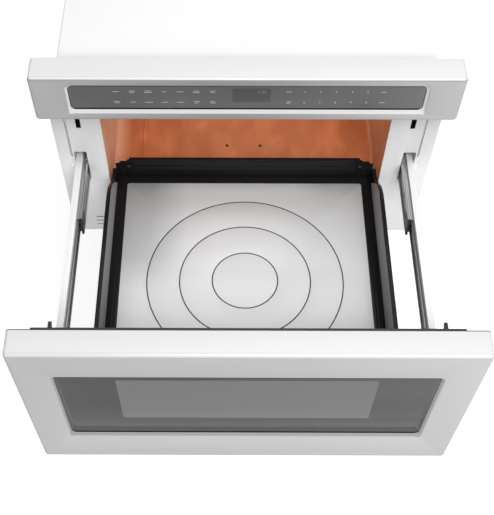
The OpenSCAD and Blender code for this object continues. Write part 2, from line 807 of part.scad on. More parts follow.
module outer_section() {
    translate([slide_x, -row_big]) square([slide_t, 2 * row_big]);
    for (s = [-1, 1]) scale([1, s]) translate([big_x, row_big]) ring_part(ring_big, 30, 180);
}

module middle_section() {
    translate([mid_web, -row_big + 0.7]) square([slide_t, 2 * row_big - 1.4]);
    for (s = [-1, 1]) scale([1, s]) {
        translate([big_x, row_big]) ring_part(ring_big, 262, 348);
        translate([small_x, row_small]) ring_part(ring_small, 36, 180);
    }
}

module inner_section() {
    translate([in_web, -row_small + 0.7]) square([slide_t, 2 * row_small - 1.4]);
    for (s = [-1, 1]) scale([1, s]) translate([small_x, row_small]) ring_part(ring_small, 262, 348);
}

module rail_outer_right() {
    color("silver") difference() {
        translate([0, 0, slide_z]) along_y(rail_y0, rail_y1) outer_section();
        for (y = rail_holes) rod_x(rail_y0 + y, slide_z, slide_x - 1, slide_x + slide_t + 1, 2.5);
    }
}

module rail_outer_left() mirror([1, 0, 0]) rail_outer_right();

module rail_middle_right() {
    color("silver") translate([0, mid_y0 - travel / 2, 0]) difference() {
        translate([0, 0, slide_z]) along_y(0, mid_l) middle_section();
        for (y = [60, mid_l / 2, mid_l - 60]) rod_x(y, slide_z, mid_web - 1, mid_web + slide_t + 1, 4);
    }
}

module rail_middle_left() mirror([1, 0, 0]) rail_middle_right();

module rail_inner_right() {
    color("gray") drawn_out() difference() {
        translate([0, 0, slide_z]) along_y(rail_y0, rail_y1) inner_section();
        for (y = arm_holes) rod_x(rail_y0 + y, slide_z, in_web - 1, arm_web + 1, 2.2);
    }
}

module rail_inner_left() mirror([1, 0, 0]) rail_inner_right();

// End stop clipped on the front of the middle member: a plug in its channel, a face and two bumps
stop_l = 20;
stop_t = 3;
bump_r = 2;

module slide_stop_right() {
    x0 = big_x - 0.4;
    x1 = mid_web + slide_t;
    bump_z = row_big - 3;
    color("black") translate([0, mid_y0 - travel / 2, slide_z]) {
        span([x0, 0, -row_small + 1], [mid_web, stop_l, row_small - 1]);
        span([x0, -stop_t, -bump_z], [x1, 0, bump_z]);
        for (z = [-bump_z, bump_z]) rod_y(x0 + bump_r, z, -stop_t - 2, 0, bump_r);
    }
}

module slide_stop_left() mirror([1, 0, 0]) slide_stop_right();

// Ball cage: a thin strip with notches, and the balls in them
module cage(web_x, t, ball_x, ball_r, row, y_mid) {
    y0 = y_mid - row_l / 2;
    over = 0.4 * ball_r;
    color("gold") difference() {
        span([web_x, y0 - 8, slide_z - row - over], [web_x + t, y0 + row_l + 8, slide_z + row + over]);
        for (i = [0:balls - 1], s = [-1, 1])
            rod_x(y0 + i * ball_pitch, slide_z + s * row, web_x - 1, web_x + t + 1, 0.9 * ball_r + 0.1);
        for (i = [0:balls - 2])
            along_x(web_x - 1, web_x + t + 1) translate([y0 + (i + 0.5) * ball_pitch, slide_z])
                round_rect([-ball_pitch / 4, -row / 2], [ball_pitch / 4, row / 2], 2);
    }
    color("silver") for (i = [0:balls - 1], s = [-1, 1])
        translate([ball_x, y0 + i * ball_pitch, slide_z + s * row]) sphere(ball_r);
}

cage_outer_y = (rail_y0 + rail_y1 - travel / 2) / 2;
cage_inner_y = (mid_y0 - travel / 2 + rail_y1 - travel) / 2;

module cage_outer_right() cage(slide_x + slide_t + near, 0.9, big_x, ball_big, row_big, cage_outer_y);

module cage_outer_left() mirror([1, 0, 0]) cage_outer_right();

module cage_inner_right() cage(mid_web + slide_t + near, 0.7, small_x, ball_small, row_small, cage_inner_y);

module cage_inner_left() mirror([1, 0, 0]) cage_inner_right();

// Box brackets between the cavity walls and the fixed members
support_h = 30;
support_l = 50;
support_ys = [rail_y0 + 90, cav_y1 - support_l - 8];
support_t = 1.5;

module rail_supports() {
    wall_x = cav_w / 2 + cav_t;
    z0 = slide_z - support_h / 2;
    color("darkgray") both_sides() for (y = support_ys) along_y(y, y + support_l) difference() {
        translate([wall_x, z0]) square([slide_x - wall_x, support_h]);
        translate([wall_x + support_t, z0 + support_t])
            square([slide_x - wall_x - 2 * support_t, support_h - 2 * support_t]);
    }
}

// Drawer arms: an angle with the drawer member on its web, a top flange that points outwards and a foot
foot_w = 24;

module drawer_arm_right() {
    color("white") drawn_out() difference() {
        union() {
            along_y(wall_y, rail_y1 + 3) {
                translate([arm_web, arm_z1 - arm_h]) square([arm_t, arm_h]);
                translate([arm_web, arm_z1 - arm_t]) square([arm_flange, arm_t]);
            }
            span([arm_web, wall_y, arm_z1 - arm_h], [arm_web + foot_w, wall_y + arm_t, arm_z1]);
        }
        for (z = [10, arm_h - 10]) rod_y(arm_web + foot_w - 8, arm_z1 - z, wall_y - 1, wall_y + 5, 2.2);
        for (y = arm_holes) rod_x(rail_y0 + y, slide_z, arm_web - 1, arm_web + arm_t + 1, 2.2);
    }
}

module drawer_arm_left() mirror([1, 0, 0]) drawer_arm_right();

// Drive: rack with straight flanks, pinion with involute teeth
function roll(r, rb) = sqrt(pow(r / rb, 2) - 1) * 180 / PI - acos(rb / r);

function flank(r, rp, rb, teeth) =
    90 / teeth - tooth_gap / 4 / rp * 180 / PI + roll(rp, rb) - roll(max(r, rb), rb);

module pinion_outline() {
    rp = pinion_r;
    rb = rp * cos(20);
    ra = rp + gear_m;
    rf = rp - 1.25 * gear_m;
    rs = [rf, rb, (rb + rp) / 2, rp, (rp + ra) / 2, ra];
    polygon([for (i = [0:pinion_teeth - 1], side = [-1, 1], k = [0:5])
        let (r = rs[side < 0 ? k : 5 - k],
            a = i * 360 / pinion_teeth + 90 + side * flank(r, rp, rb, pinion_teeth))
        r * [cos(a), sin(a)]]);
}

module drive_pinion() {
    color("ivory") difference() {
        union() {
            along_x(-rack_w / 2 + 1, rack_w / 2 - 1) translate([pinion_at, pinion_z]) pinion_outline();
            rod_x(pinion_at, pinion_z, -rack_w / 2 + 1, rack_w / 2, 8);
            rod_x(pinion_at, pinion_z, -rack_w / 2 - 2, 40, shaft_r);
        }
        for (i = [0:5]) rotate_about_pinion(i * 60) rod_x(pinion_at, pinion_z + 11.2, -20, 20, 2);
    }
}

module rotate_about_pinion(a) {
    translate([0, pinion_at, pinion_z]) rotate([a, 0, 0]) translate([0, -pinion_at, -pinion_z]) children();
}

module rack_outline(first, last) {
    add = gear_m;
    ded = 1.25 * gear_m;
    half = tooth_pitch / 4 - tooth_gap / 4;
    slope = tan(20);
    polygon(concat(
        [[last * tooth_pitch + tooth_pitch / 2, rack_top], [first * tooth_pitch - tooth_pitch / 2, rack_top],
            [first * tooth_pitch - tooth_pitch / 2, rack_z + ded]],
        [for (i = [first:last - 1], p = [[-1, ded], [-1, -add], [1, -add], [1, ded]])
            [(i + 0.5) * tooth_pitch + p.x * (half + slope * p.y), rack_z + p.y]],
        [[last * tooth_pitch + tooth_pitch / 2, rack_z + ded]]));
}

rack_first = -ceil((travel + 24) / tooth_pitch);

module drive_rack() {
    front = seat_y - travel;
    color("ivory") along_x(-rack_w / 2, rack_w / 2) translate([pinion_at, 0]) rack_outline(rack_first, 4);
    color("ivory") span([-rack_w / 2, front, rack_z + 2],
        [rack_w / 2, pinion_at + (rack_first - 0.5) * tooth_pitch, rack_top]);
    color("ivory") difference() {
        span([-19, front, 43], [19, front + 3, 68.5]);
        both_sides() rod_y(13, 56, front - 1, front + 4, 2.2);
    }
}

motor_x = 9.5;
collar_r = 8.7;

module motor_bracket() {
    color("gray") difference() {
        union() {
            span([motor_x - 1.5, 16, sheet_t], [motor_x, 118, cav_floor - cav_t]);
            span([-38, 90, cav_floor - cav_t - 1.5], [38, 118, cav_floor - cav_t]);
            span([motor_x - 1.5, 16, sheet_t], [motor_x + 24, 118, sheet_t + 1.5]);
            span([-rack_w / 2, pinion_at - 12, rack_top + near], [motor_x, pinion_at + 12, rack_top + 4]);
        }
        rod_x(pinion_at, pinion_z, 0, 20, collar_r + near);
        both_sides() rod_z(floor_screw_x, floor_screw_y, cav_floor - 5, cav_floor, 1.5);
    }
}

module drive_motor() {
    color("dimgray") difference() {
        union() {
            along_x(motor_x, motor_x + 26) round_rect([pinion_at - 22, 6], [pinion_at + 46, 58], 8);
            rod_x(pinion_at + 24, 32, motor_x + 26, motor_x + 74, 17);
            rod_x(pinion_at + 24, 32, motor_x + 74, motor_x + 78, 6);
            rod_x(pinion_at, pinion_z, motor_x - 1.5, motor_x, collar_r);
        }
        rod_x(pinion_at, pinion_z, motor_x - 2, 44, shaft_r + shaft_gap);
    }
}

// Interlock: fingers on the drawer front, housings and switches behind the front plate
finger_l = 25;
finger_w = 3.6;
finger_h = 9;

module finger_outline() {
    translate([-10, latch_z - finger_h / 2]) square([finger_l + 6, finger_h]);
    translate([finger_l - 4.5, latch_z]) circle(finger_h / 2);
    translate([finger_l - 9.5, latch_z - finger_h / 2 - 2.5]) square([5, 5]);
    translate([finger_l - 7, latch_z - finger_h / 2 - 2.5]) circle(2.5);
    translate([cover_y - 4, latch_z - 13]) square([4, 26]);
}

module interlock_fingers() {
    color("black") drawn_out() both_sides()
        along_x(latch_x - finger_w / 2, latch_x + finger_w / 2) finger_outline();
}

switch_z0 = latch_z + finger_h / 2 + 3.4;
switch_y = 7;

module latch_housings() {
    x0 = latch_x + latch_w / 2 + 1;
    z0 = latch_z0 - 5;
    z1 = latch_z + 30;
    back = 50;
    color("dimgray") both_sides() {
        span([x0, plate_back + sheet_t, z0], [x0 + 2, back, z1]);
        span([latch_x - 12, switch_y - 1, z0], [x0, back, z0 + 2]);
        difference() {
            span([latch_x - 12, plate_back, z0], [x0 + 6, switch_y - 1, z1]);
            span([latch_x - 5, plate_back - 1, latch_z0], [x0 - 0.2, switch_y, latch_z1]);
            along_y(plate_back - 1, switch_y) translate([x0 + 3, latch_z + 24]) circle(1.5);
        }
    }
}

module interlock_switches() {
    x0 = latch_x - 6.25;
    color("dimgray") both_sides() difference() {
        span([x0, switch_y, switch_z0], [latch_x + latch_w / 2 + 1, switch_y + 28, switch_z0 + 16]);
        rod_z(latch_x, switch_y + 9, switch_z0 - 1, switch_z0 + 7, 1.5 + shaft_gap);
    }
    color("gold") both_sides() for (y = [4, 14, 24])
        span([latch_x - 3, switch_y + y - 0.4, switch_z0 + 16],
            [latch_x + 3, switch_y + y + 0.4, switch_z0 + 22]);
}

module switch_plunger_right() color("red") {
    rod_z(latch_x, switch_y + 9, switch_z0 - 2.6, switch_z0 + 5, 1.5);
    rod_z(latch_x, switch_y + 9, switch_z0 - 2.8, switch_z0 - 2.4, 1.1);
}

module switch_plunger_left() mirror([1, 0, 0]) switch_plunger_right();

// Drawer front
door_boss_x = front_w / 2 - 18;
boss_zs = [20, 290];

window_rest = 28;

module door_frame() {
    color("whitesmoke") drawn_out() difference() {
        union() {
            housing(door_z0, door_z1, cover_y, window_z0, window_h);
            both_sides() for (z = boss_zs) rod_y(door_boss_x, z, face_y + shell_t - 1, cover_y, 5);
            both_sides() span([arm_web - 2, face_y + shell_t - 1, arm_z1 - arm_h - 2],
                [arm_web + foot_w + 2, wall_y, arm_z1 + 2]);
        }
        span([-pane_w / 2 + window_rest, pane_y, window_z0 + 20],
            [pane_w / 2 - window_rest, wall_y + 1, window_z0 + window_h - 4]);
        both_sides() for (z = boss_zs) rod_y(door_boss_x, z, wall_y + 2, cover_y + 1, 1.5);
    }
}

module door_glass() color("dimgray") drawn_out() pane(window_z0, window_h);

screen_x = 221;
screen_z0 = mouth_z0 - 3;
screen_z1 = mouth_z1 + 3;

hood = 6;

module door_screen() {
    color("gray") drawn_out() difference() {
        span([-screen_x, choke_y - sheet_t, screen_z0], [screen_x, choke_y, screen_z1]);
        both_sides() for (z = [screen_z0 + 8, screen_z1 - 8])
            rod_y(screen_x - 8, z, choke_y - 5, choke_y + 1, 2);
    }
    color("gray") drawn_out() difference() {
        span([-view_w / 2 - hood, pane_y + pane_t, view_z0 - hood],
            [view_w / 2 + hood, choke_y - sheet_t, view_z0 + view_h + hood]);
        span([-view_w / 2 - hood + 1, pane_y + pane_t - 1, view_z0 - hood + 1],
            [view_w / 2 + hood - 1, choke_y - sheet_t + 1, view_z0 + view_h + hood - 1]);
    }
}

// Choke: a channel round the mouth whose inner wall is cut into fingers
choke_y = -17;
choke_x = 247;
choke_z0 = 73;
comb_pitch = 18;

module choke_frame() {
    z1 = door_z1 - shell_t - near;
    color("silver") drawn_out() difference() {
        along_y(choke_y - 1, cover_y) difference() {
            round_rect([-choke_x, choke_z0], [choke_x, z1], 4);
            translate([-screen_x, screen_z0]) square([2 * screen_x, screen_z1 - screen_z0]);
        }
        along_y(choke_y, cover_y + 1) difference() {
            round_rect([-choke_x + 1, choke_z0 + 1], [choke_x - 1, z1 - 1], 3);
            translate([-screen_x - 1, screen_z0 - 1]) square([2 * screen_x + 2, screen_z1 - screen_z0 + 2]);
        }
        for (i = [-11:11]) for (z = [screen_z0 - 2, screen_z1 - 1])
            span([i * comb_pitch - 1.5, choke_y + 3, z], [i * comb_pitch + 1.5, cover_y + 1, z + 3]);
        both_sides() for (i = [0:8])
            translate([screen_x - 1, choke_y + 3, screen_z0 + 16 + i * comb_pitch])
                cube([3, cover_y - choke_y - 2, 3]);
    }
}

// Black cover on the back of the drawer front, with openings for the arms, the fingers and the window
cover_w = front_w - 60;

module choke_cover() {
    color("black") drawn_out() difference() {
        along_y(cover_y, seat_y) round_rect([-cover_w / 2, door_z0 + shell_t], [cover_w / 2, door_z1], 3);
        along_y(cover_y - 1, seat_y + 1) {
            round_rect([-view_w / 2 - 12, view_z0 - 9], [view_w / 2 + 12, view_z0 + view_h + 9], 6);
            both_sides() translate([arm_web - near, arm_z1 - arm_h - near])
                square([arm_flange + 2 * near, arm_h + 2 * near]);
            both_sides() translate([latch_x - finger_w / 2 - near, latch_z - finger_h / 2 - 3.5])
                square([finger_w + 2 * near, finger_h + 4]);
            both_sides() translate([13, 56]) circle(1.6);
        }
    }
}

// Pan: side walls whose top edge falls to the rear in two equal arcs
top_z = tray_z + wall_h;
low_z = tray_z + wall_low;
rear_y = seat_y + pan_d;
fall_l = 95;
fall_end = rear_y + pan_t;
fall_h = top_z - low_z;
fall_r = (pow(fall_l, 2) + pow(fall_h, 2)) / (4 * fall_h);
fall_a = asin(fall_l / 2 / fall_r);

function bend(i) = fall_r * [sin(i * fall_a / 10), 1 - cos(i * fall_a / 10)];

function edge_points(drop) = concat(
    [[seat_y, top_z - drop]],
    [for (i = [0:10]) [fall_end - fall_l + bend(i)[0], top_z - drop - bend(i)[1]]],
    [for (i = [9:-1:0]) [fall_end - bend(i)[0], low_z - drop + bend(i)[1]]]);

function strip_points(drop) = concat(edge_points(0), [for (i = [21:-1:0]) edge_points(drop)[i]]);

pan_low = tray_z - 14.8;

module pan_side_right() {
    x0 = pan_w / 2;
    color("black") drawn_out() {
        along_x(x0, x0 + pan_t) polygon(concat([[fall_end, pan_low], [seat_y, pan_low]], edge_points(0)));
        along_x(x0, x0 + 6.3) polygon(strip_points(pan_t));
        along_x(x0 + 5.1, x0 + 6.3) polygon(strip_points(5));
        span([x0 - 10, seat_y, pan_low], [x0, fall_end, pan_low + pan_t]);
        difference() {
            span([x0 - 26, fall_end, pan_low], [x0 + pan_t, fall_end + pan_t, low_z + 12]);
            rod_y(pan_screw_x, pan_screw_z, fall_end - 1, fall_end + 3, 1.3);
        }
        difference() {
            span([x0 - 9, seat_y, tray_z + 6], [x0, seat_y + pan_t, top_z - 6]);
            for (z = [16, 46]) rod_y(x0 - 4.5, tray_z + z, seat_y - 1, seat_y + 3, 1.6);
        }
    }
}

module pan_side_left() mirror([1, 0, 0]) pan_side_right();

pan_screw_x = pan_w / 2 - 20.5;
pan_screw_z = tray_z + 24;

module pan_rear() {
    x1 = pan_w / 2;
    ear_r = 5;
    color("black") drawn_out() difference() {
        union() {
            along_y(rear_y, rear_y + pan_t) {
                translate([-x1, pan_low + pan_t]) square([2 * x1, low_z + 4 - pan_low - pan_t]);
                round_rect([-x1 + 5, low_z - 10], [x1 - 5, tray_z + rear_h - 4], ear_r);
                round_rect([-x1 + 18, low_z - 10], [x1 - 18, tray_z + rear_h], 3);
            }
            along_y(rear_y, rear_y + 5)
                translate([-x1 + 22, tray_z + rear_h - pan_t]) square([2 * x1 - 44, pan_t]);
        }
        both_sides() rod_y(pan_screw_x, pan_screw_z, rear_y - 1, rear_y + 3, 1.8);
    }
}

// Pan base: a ledge round the glass plate, a floor under it and two stiffening ribs
tray_gap = 0.5;
tray_w = pan_w - 2 * ledge_w;
tray_y0 = seat_y + 2.1;
tray_y1 = rear_y - ledge_rear;

module pan_base() {
    ledge = tray_z - 0.2;
    floor_z = tray_z - tray_t;
    slot = tray_w / 2 + tray_gap;
    slot_y = tray_y1 + tray_gap;
    x1 = pan_w / 2;
    color("black") drawn_out() difference() {
        span([-x1, seat_y, pan_low + pan_t], [x1, rear_y, ledge]);
        span([-slot, seat_y - 1, floor_z], [slot, slot_y, ledge + 1]);
        span([-slot + pan_t, seat_y - 1, pan_low], [slot - pan_t, slot_y - pan_t, floor_z - pan_t]);
        both_sides() span([slot + pan_t, seat_y - 1, pan_low], [x1 - pan_t, rear_y + 1, ledge - pan_t]);
        span([-x1 + pan_t, slot_y + pan_t, pan_low], [x1 - pan_t, rear_y - pan_t, ledge - pan_t]);
        both_sides() span([slot + 5, seat_y + 10, ledge - 0.4], [slot + 6.5, rear_y - 6, ledge + 1]);
    }
    color("black") drawn_out() for (y = [110, 270])
        span([-slot + 11, y, pan_low + pan_t], [slot - 11, y + 8, floor_z - pan_t]);
}

// Glass plate with three shallow ring grooves
module glass_plate() {
    mid = (tray_y0 + tray_y1) / 2;
    color("gainsboro") drawn_out() difference() {
        translate([0, 0, tray_z - tray_t]) linear_extrude(tray_t)
            round_rect([-tray_w / 2, tray_y0], [tray_w / 2, tray_y1], 4);
        for (r = [50, 100, 150]) translate([0, mid, tray_z - 0.2]) difference() {
            cylinder(r = r + 0.6, h = 1);
            translate([0, 0, -1]) cylinder(r = r - 0.6, h = 3);
        }
    }
}

module pan_screws() {
    color("silver") drawn_out() both_sides() {
        translate([pan_screw_x, rear_y, pan_screw_z]) rotate([90, 0, 0]) screw(3.2, 1.6, 1.2, 5);
        for (z = [16, 46]) translate([pan_w / 2 - 4.5, seat_y + pan_t, tray_z + z])
            rotate([-90, 0, 0]) screw(2.8, 1.6, 1.2, 1.2);
    }
}

base_plate();
outer_cover();
rear_cover();
front_plate();
oven_cavity();
control_frame();
control_glass();
control_board();
power_board();
stirrer_cover();
stirrer_motor();
stirrer_blade();
waveguide();
magnetron();
hv_transformer();
hv_capacitor();
hv_diode();
fan_motor();
fan_duct();
fan_blade();
oven_lamp();
noise_filter();
thermal_cutout();
cord_bush();
rail_outer_left();
rail_outer_right();
rail_supports();
drive_motor();
motor_bracket();
drive_pinion();
latch_housings();
interlock_switches();
switch_plunger_left();
switch_plunger_right();
chassis_screws();
rail_middle_left();
rail_middle_right();
slide_stop_left();
slide_stop_right();
cage_outer_left();
cage_outer_right();
cage_inner_left();
cage_inner_right();
door_frame();
door_glass();
door_screen();
choke_frame();
choke_cover();
drawer_arm_left();
drawer_arm_right();
rail_inner_left();
rail_inner_right();
pan_base();
pan_rear();
pan_side_left();
pan_side_right();
glass_plate();
drive_rack();
interlock_fingers();
pan_screws();
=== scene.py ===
import json
import math

import bmesh
import bpy
from mathutils import Matrix, Vector


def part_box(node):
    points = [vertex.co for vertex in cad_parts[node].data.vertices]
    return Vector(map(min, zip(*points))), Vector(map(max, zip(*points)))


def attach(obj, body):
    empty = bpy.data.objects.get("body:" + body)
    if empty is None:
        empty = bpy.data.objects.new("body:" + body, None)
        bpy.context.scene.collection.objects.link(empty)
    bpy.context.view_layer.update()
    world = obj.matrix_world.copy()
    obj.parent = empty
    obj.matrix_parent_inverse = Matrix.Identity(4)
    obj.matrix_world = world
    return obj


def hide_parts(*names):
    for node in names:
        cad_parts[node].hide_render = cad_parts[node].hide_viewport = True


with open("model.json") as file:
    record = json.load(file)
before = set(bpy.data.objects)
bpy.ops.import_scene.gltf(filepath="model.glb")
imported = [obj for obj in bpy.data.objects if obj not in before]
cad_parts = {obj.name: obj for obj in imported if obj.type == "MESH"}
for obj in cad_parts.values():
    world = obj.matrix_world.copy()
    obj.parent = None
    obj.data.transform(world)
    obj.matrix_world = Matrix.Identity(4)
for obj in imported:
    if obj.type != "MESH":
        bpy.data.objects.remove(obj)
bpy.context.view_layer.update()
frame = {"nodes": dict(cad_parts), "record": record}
mm = 0.001

# Base plate, outer cover and rear cover: one-millimetre steel sheet, folded on a press brake.
# The tray under the oven is bare zinc; the two covers have a white powder coat and are held by
# pan-head screws along the rear edge. A black rubber bush lines the hole for the cord.


def new_finish(name, colour, metallic=0.0, roughness=0.5, coat=0.0, coat_roughness=0.1):
    """A Principled material with its plain values set on the shader's own sockets."""
    finish = bpy.data.materials.new(name)
    finish.use_nodes = True
    shader = finish.node_tree.nodes["Principled BSDF"]
    shader.inputs["Base Color"].default_value = (*colour, 1.0)
    shader.inputs["Metallic"].default_value = metallic
    shader.inputs["Roughness"].default_value = roughness
    shader.inputs["Coat Weight"].default_value = coat
    shader.inputs["Coat Roughness"].default_value = coat_roughness
    return finish


def object_pattern(finish, scale, stretch=(1.0, 1.0, 1.0), detail=3.0, distortion=0.0):
    """Noise on object coordinates, stretched along the piece's axes."""
    tree = finish.node_tree
    place = tree.nodes.new("ShaderNodeTexCoord")
    mapping = tree.nodes.new("ShaderNodeMapping")
    mapping.inputs["Scale"].default_value = stretch
    noise = tree.nodes.new("ShaderNodeTexNoise")
    noise.inputs["Scale"].default_value = scale
    noise.inputs["Detail"].default_value = detail
    noise.inputs["Distortion"].default_value = distortion
    tree.links.new(place.outputs["Object"], mapping.inputs["Vector"])
    tree.links.new(mapping.outputs["Vector"], noise.inputs["Vector"])
    return noise.outputs["Fac"]


def vary_colour(finish, pattern, dark, light, low=0.35, high=0.65):
    tree = finish.node_tree
    ramp = tree.nodes.new("ShaderNodeValToRGB")
    ramp.color_ramp.elements[0].position = low
    ramp.color_ramp.elements[0].color = (*dark, 1.0)
    ramp.color_ramp.elements[1].position = high
    ramp.color_ramp.elements[1].color = (*light, 1.0)
    tree.links.new(pattern, ramp.inputs["Fac"])
    tree.links.new(ramp.outputs["Color"], tree.nodes["Principled BSDF"].inputs["Base Color"])
    return ramp.outputs["Color"]


def vary_roughness(finish, pattern, smooth, rough):
    tree = finish.node_tree
    spread = tree.nodes.new("ShaderNodeMapRange")
    spread.inputs["From Min"].default_value = 0.3
    spread.inputs["From Max"].default_value = 0.7
    spread.inputs["To Min"].default_value = smooth
    spread.inputs["To Max"].default_value = rough
    tree.links.new(pattern, spread.inputs["Value"])
    tree.links.new(spread.outputs["Result"], tree.nodes["Principled BSDF"].inputs["Roughness"])


def add_bump(finish, pattern, strength, distance):
    tree = finish.node_tree
    bump = tree.nodes.new("ShaderNodeBump")
    bump.inputs["Strength"].default_value = strength
    bump.inputs["Distance"].default_value = distance
    tree.links.new(pattern, bump.inputs["Height"])
    tree.links.new(bump.outputs["Normal"], tree.nodes["Principled BSDF"].inputs["Normal"])


def dress(finish, *nodes):
    for node in nodes:
        for place in frame["nodes"][node].material_slots:
            place.material = finish


zinc_sheet = new_finish("zinc_sheet", (0.62, 0.63, 0.64), metallic=0.9, roughness=0.42)
spangle = object_pattern(zinc_sheet, 45.0, detail=1.0)
vary_colour(zinc_sheet, spangle, (0.52, 0.53, 0.54), (0.68, 0.69, 0.70))
vary_roughness(zinc_sheet, spangle, 0.34, 0.5)
dress(zinc_sheet, "base_plate")

powder_coat = new_finish("powder_coat", (0.95, 0.95, 0.95), roughness=0.55)
vary_colour(powder_coat, object_pattern(powder_coat, 6.0), (0.94, 0.94, 0.94), (0.96, 0.96, 0.96))
add_bump(powder_coat, object_pattern(powder_coat, 900.0, detail=2.0), 0.12, 0.2 * mm)
dress(powder_coat, "outer_cover", "rear_cover")

bush_rubber = new_finish("bush_rubber", (0.012, 0.012, 0.012), roughness=0.6)
add_bump(bush_rubber, object_pattern(bush_rubber, 700.0), 0.3, 0.2 * mm)
dress(bush_rubber, "cord_bush")

# Front plate: pressed steel sheet, 1.2 mm thick, with a pale stoved enamel; painted shade makes
# it greyer in its upper part. Its raised middle is flanged back to the mounting strips, which
# stand against the cabinet's front frame. A painted shadow darkens a strip beside each flange's slit.


def combined(tree, operation, first, second):
    """One value made from two, each a socket or a plain number."""
    maths = tree.nodes.new("ShaderNodeMath")
    maths.operation = operation
    for socket, value in zip(maths.inputs, (first, second)):
        if isinstance(value, float):
            socket.default_value = value
        else:
            tree.links.new(value, socket)
    return maths.outputs["Value"]


def falling(tree, value, edge, soft):
    """One where a value is under an edge and nought where it is over, with a soft step."""
    step = tree.nodes.new("ShaderNodeMapRange")
    step.inputs["From Min"].default_value = edge - soft
    step.inputs["From Max"].default_value = edge + soft
    step.inputs["To Min"].default_value = 1.0
    step.inputs["To Max"].default_value = 0.0
    tree.links.new(value, step.inputs["Value"])
    return step.outputs["Result"]


def below(finish, way, edge, soft):
    """One on the near side of a plane across a direction, and nought on its far side."""
    tree = finish.node_tree
    place = tree.nodes.new("ShaderNodeTexCoord")
    reach = tree.nodes.new("ShaderNodeVectorMath")
    reach.operation = "DOT_PRODUCT"
    reach.inputs[1].default_value = way
    tree.links.new(place.outputs["Object"], reach.inputs[0])
    return falling(tree, reach.outputs["Value"], edge, soft)


def inside_field(finish, centre, half, soft, axes="XZ"):
    """One inside a rectangle across two axes, and nought outside it."""
    tree = finish.node_tree
    place = tree.nodes.new("ShaderNodeTexCoord")
    mapping = tree.nodes.new("ShaderNodeMapping")
    moved = dict(zip(axes, (-centre[0], -centre[1])))
    mapping.inputs["Location"].default_value = [moved.get(axis, 0.0) for axis in "XYZ"]
    size = tree.nodes.new("ShaderNodeVectorMath")
    size.operation = "ABSOLUTE"
    split = tree.nodes.new("ShaderNodeSeparateXYZ")
    tree.links.new(place.outputs["Object"], mapping.inputs["Vector"])
    tree.links.new(mapping.outputs["Vector"], size.inputs[0])
    tree.links.new(size.outputs["Vector"], split.inputs["Vector"])
    sides = [falling(tree, split.outputs[axis], reach, soft) for axis, reach in zip(axes, half)]
    return combined(tree, "MULTIPLY", *sides)


def mix_colour(finish, fac, outside, inside):
    """The outside colour where a field is nought and the inside one where it is one."""
    tree = finish.node_tree
    mix = tree.nodes.new("ShaderNodeMix")
    mix.data_type = "RGBA"
    tree.links.new(fac, mix.inputs["Factor"])
    for socket, colour in ((mix.inputs[6], outside), (mix.inputs[7], inside)):
        if isinstance(colour, tuple):
            socket.default_value = (*colour, 1.0)
        else:
            tree.links.new(colour, socket)
    return mix.outputs[2]


def use_colour(finish, colour):
    tree = finish.node_tree
    tree.links.new(colour, tree.nodes["Principled BSDF"].inputs["Base Color"])


node_body = {node: body for body, nodes in frame["record"]["behaviour"]["bodies"].items() for node in nodes}


def add_piece(name, shape, finish, body):
    """Closes a bmesh into a finished object that rides on a body."""
    mesh = bpy.data.meshes.new(name)
    shape.to_mesh(mesh)
    shape.free()
    mesh.materials.append(finish)
    mesh.shade_smooth()
    mesh.set_sharp_from_angle(angle=math.radians(32))
    piece = bpy.data.objects.new(name, mesh)
    bpy.context.scene.collection.objects.link(piece)
    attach(piece, body)
    return piece


def eased(finish, width, *nodes):
    """Stands for rigid nodes with the same shape whose sharp edges are slightly rounded."""
    for node in nodes:
        shape = bmesh.new()
        shape.from_mesh(frame["nodes"][node].data)
        bmesh.ops.remove_doubles(shape, verts=shape.verts, dist=0.002 * mm)
        flat = math.radians(0.3)
        bmesh.ops.dissolve_limit(shape, angle_limit=flat, verts=shape.verts, edges=shape.edges)
        sharp = [e for e in shape.edges if len(e.link_faces) == 2 and e.calc_face_angle() > math.radians(40)]
        bmesh.ops.bevel(shape, geom=sharp, offset=width, segments=2, profile=0.5, affect="EDGES",
                        material=-1, clamp_overlap=True)
        bmesh.ops.triangulate(shape, faces=shape.faces)
        piece = add_piece(node + "_eased", shape, finish, node_body[node])
        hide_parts(node)


light_enamel = new_finish("light_enamel", (0.88, 0.88, 0.88), roughness=0.36, coat=0.2)
pale = vary_colour(light_enamel, object_pattern(light_enamel, 5.0), (0.92, 0.92, 0.925), (0.95, 0.95, 0.95))
slit_inner, slit_outer = 272.0 * mm, 275.3 * mm
slit_z, slit_half = 266.5 * mm, 79.0 * mm
# Painted shade: the plate is greyer up high, where the control panel above shades it.
painted_shade_by_height = below(light_enamel, (0, 0, 1), edge=215.0 * mm, soft=95.0 * mm)
pale = mix_colour(light_enamel, painted_shade_by_height, (0.58, 0.58, 0.58), pale)
# Painted shadow: a dark strip along the slit beside each flange.
within = inside_field(light_enamel, (0.0, 0.0), (slit_inner, 1.0), 0.15 * mm)
beyond = inside_field(light_enamel, (0.0, slit_z), (slit_outer, slit_half), 0.15 * mm)
slit_painted_shadow = mix_colour(light_enamel, within, (0.16, 0.16, 0.16), pale)
use_colour(light_enamel, mix_colour(light_enamel, beyond, pale, slit_painted_shadow))
add_bump(light_enamel, object_pattern(light_enamel, 320.0), 0.1, 0.3 * mm)
eased(light_enamel, 0.25 * mm, "front_plate")
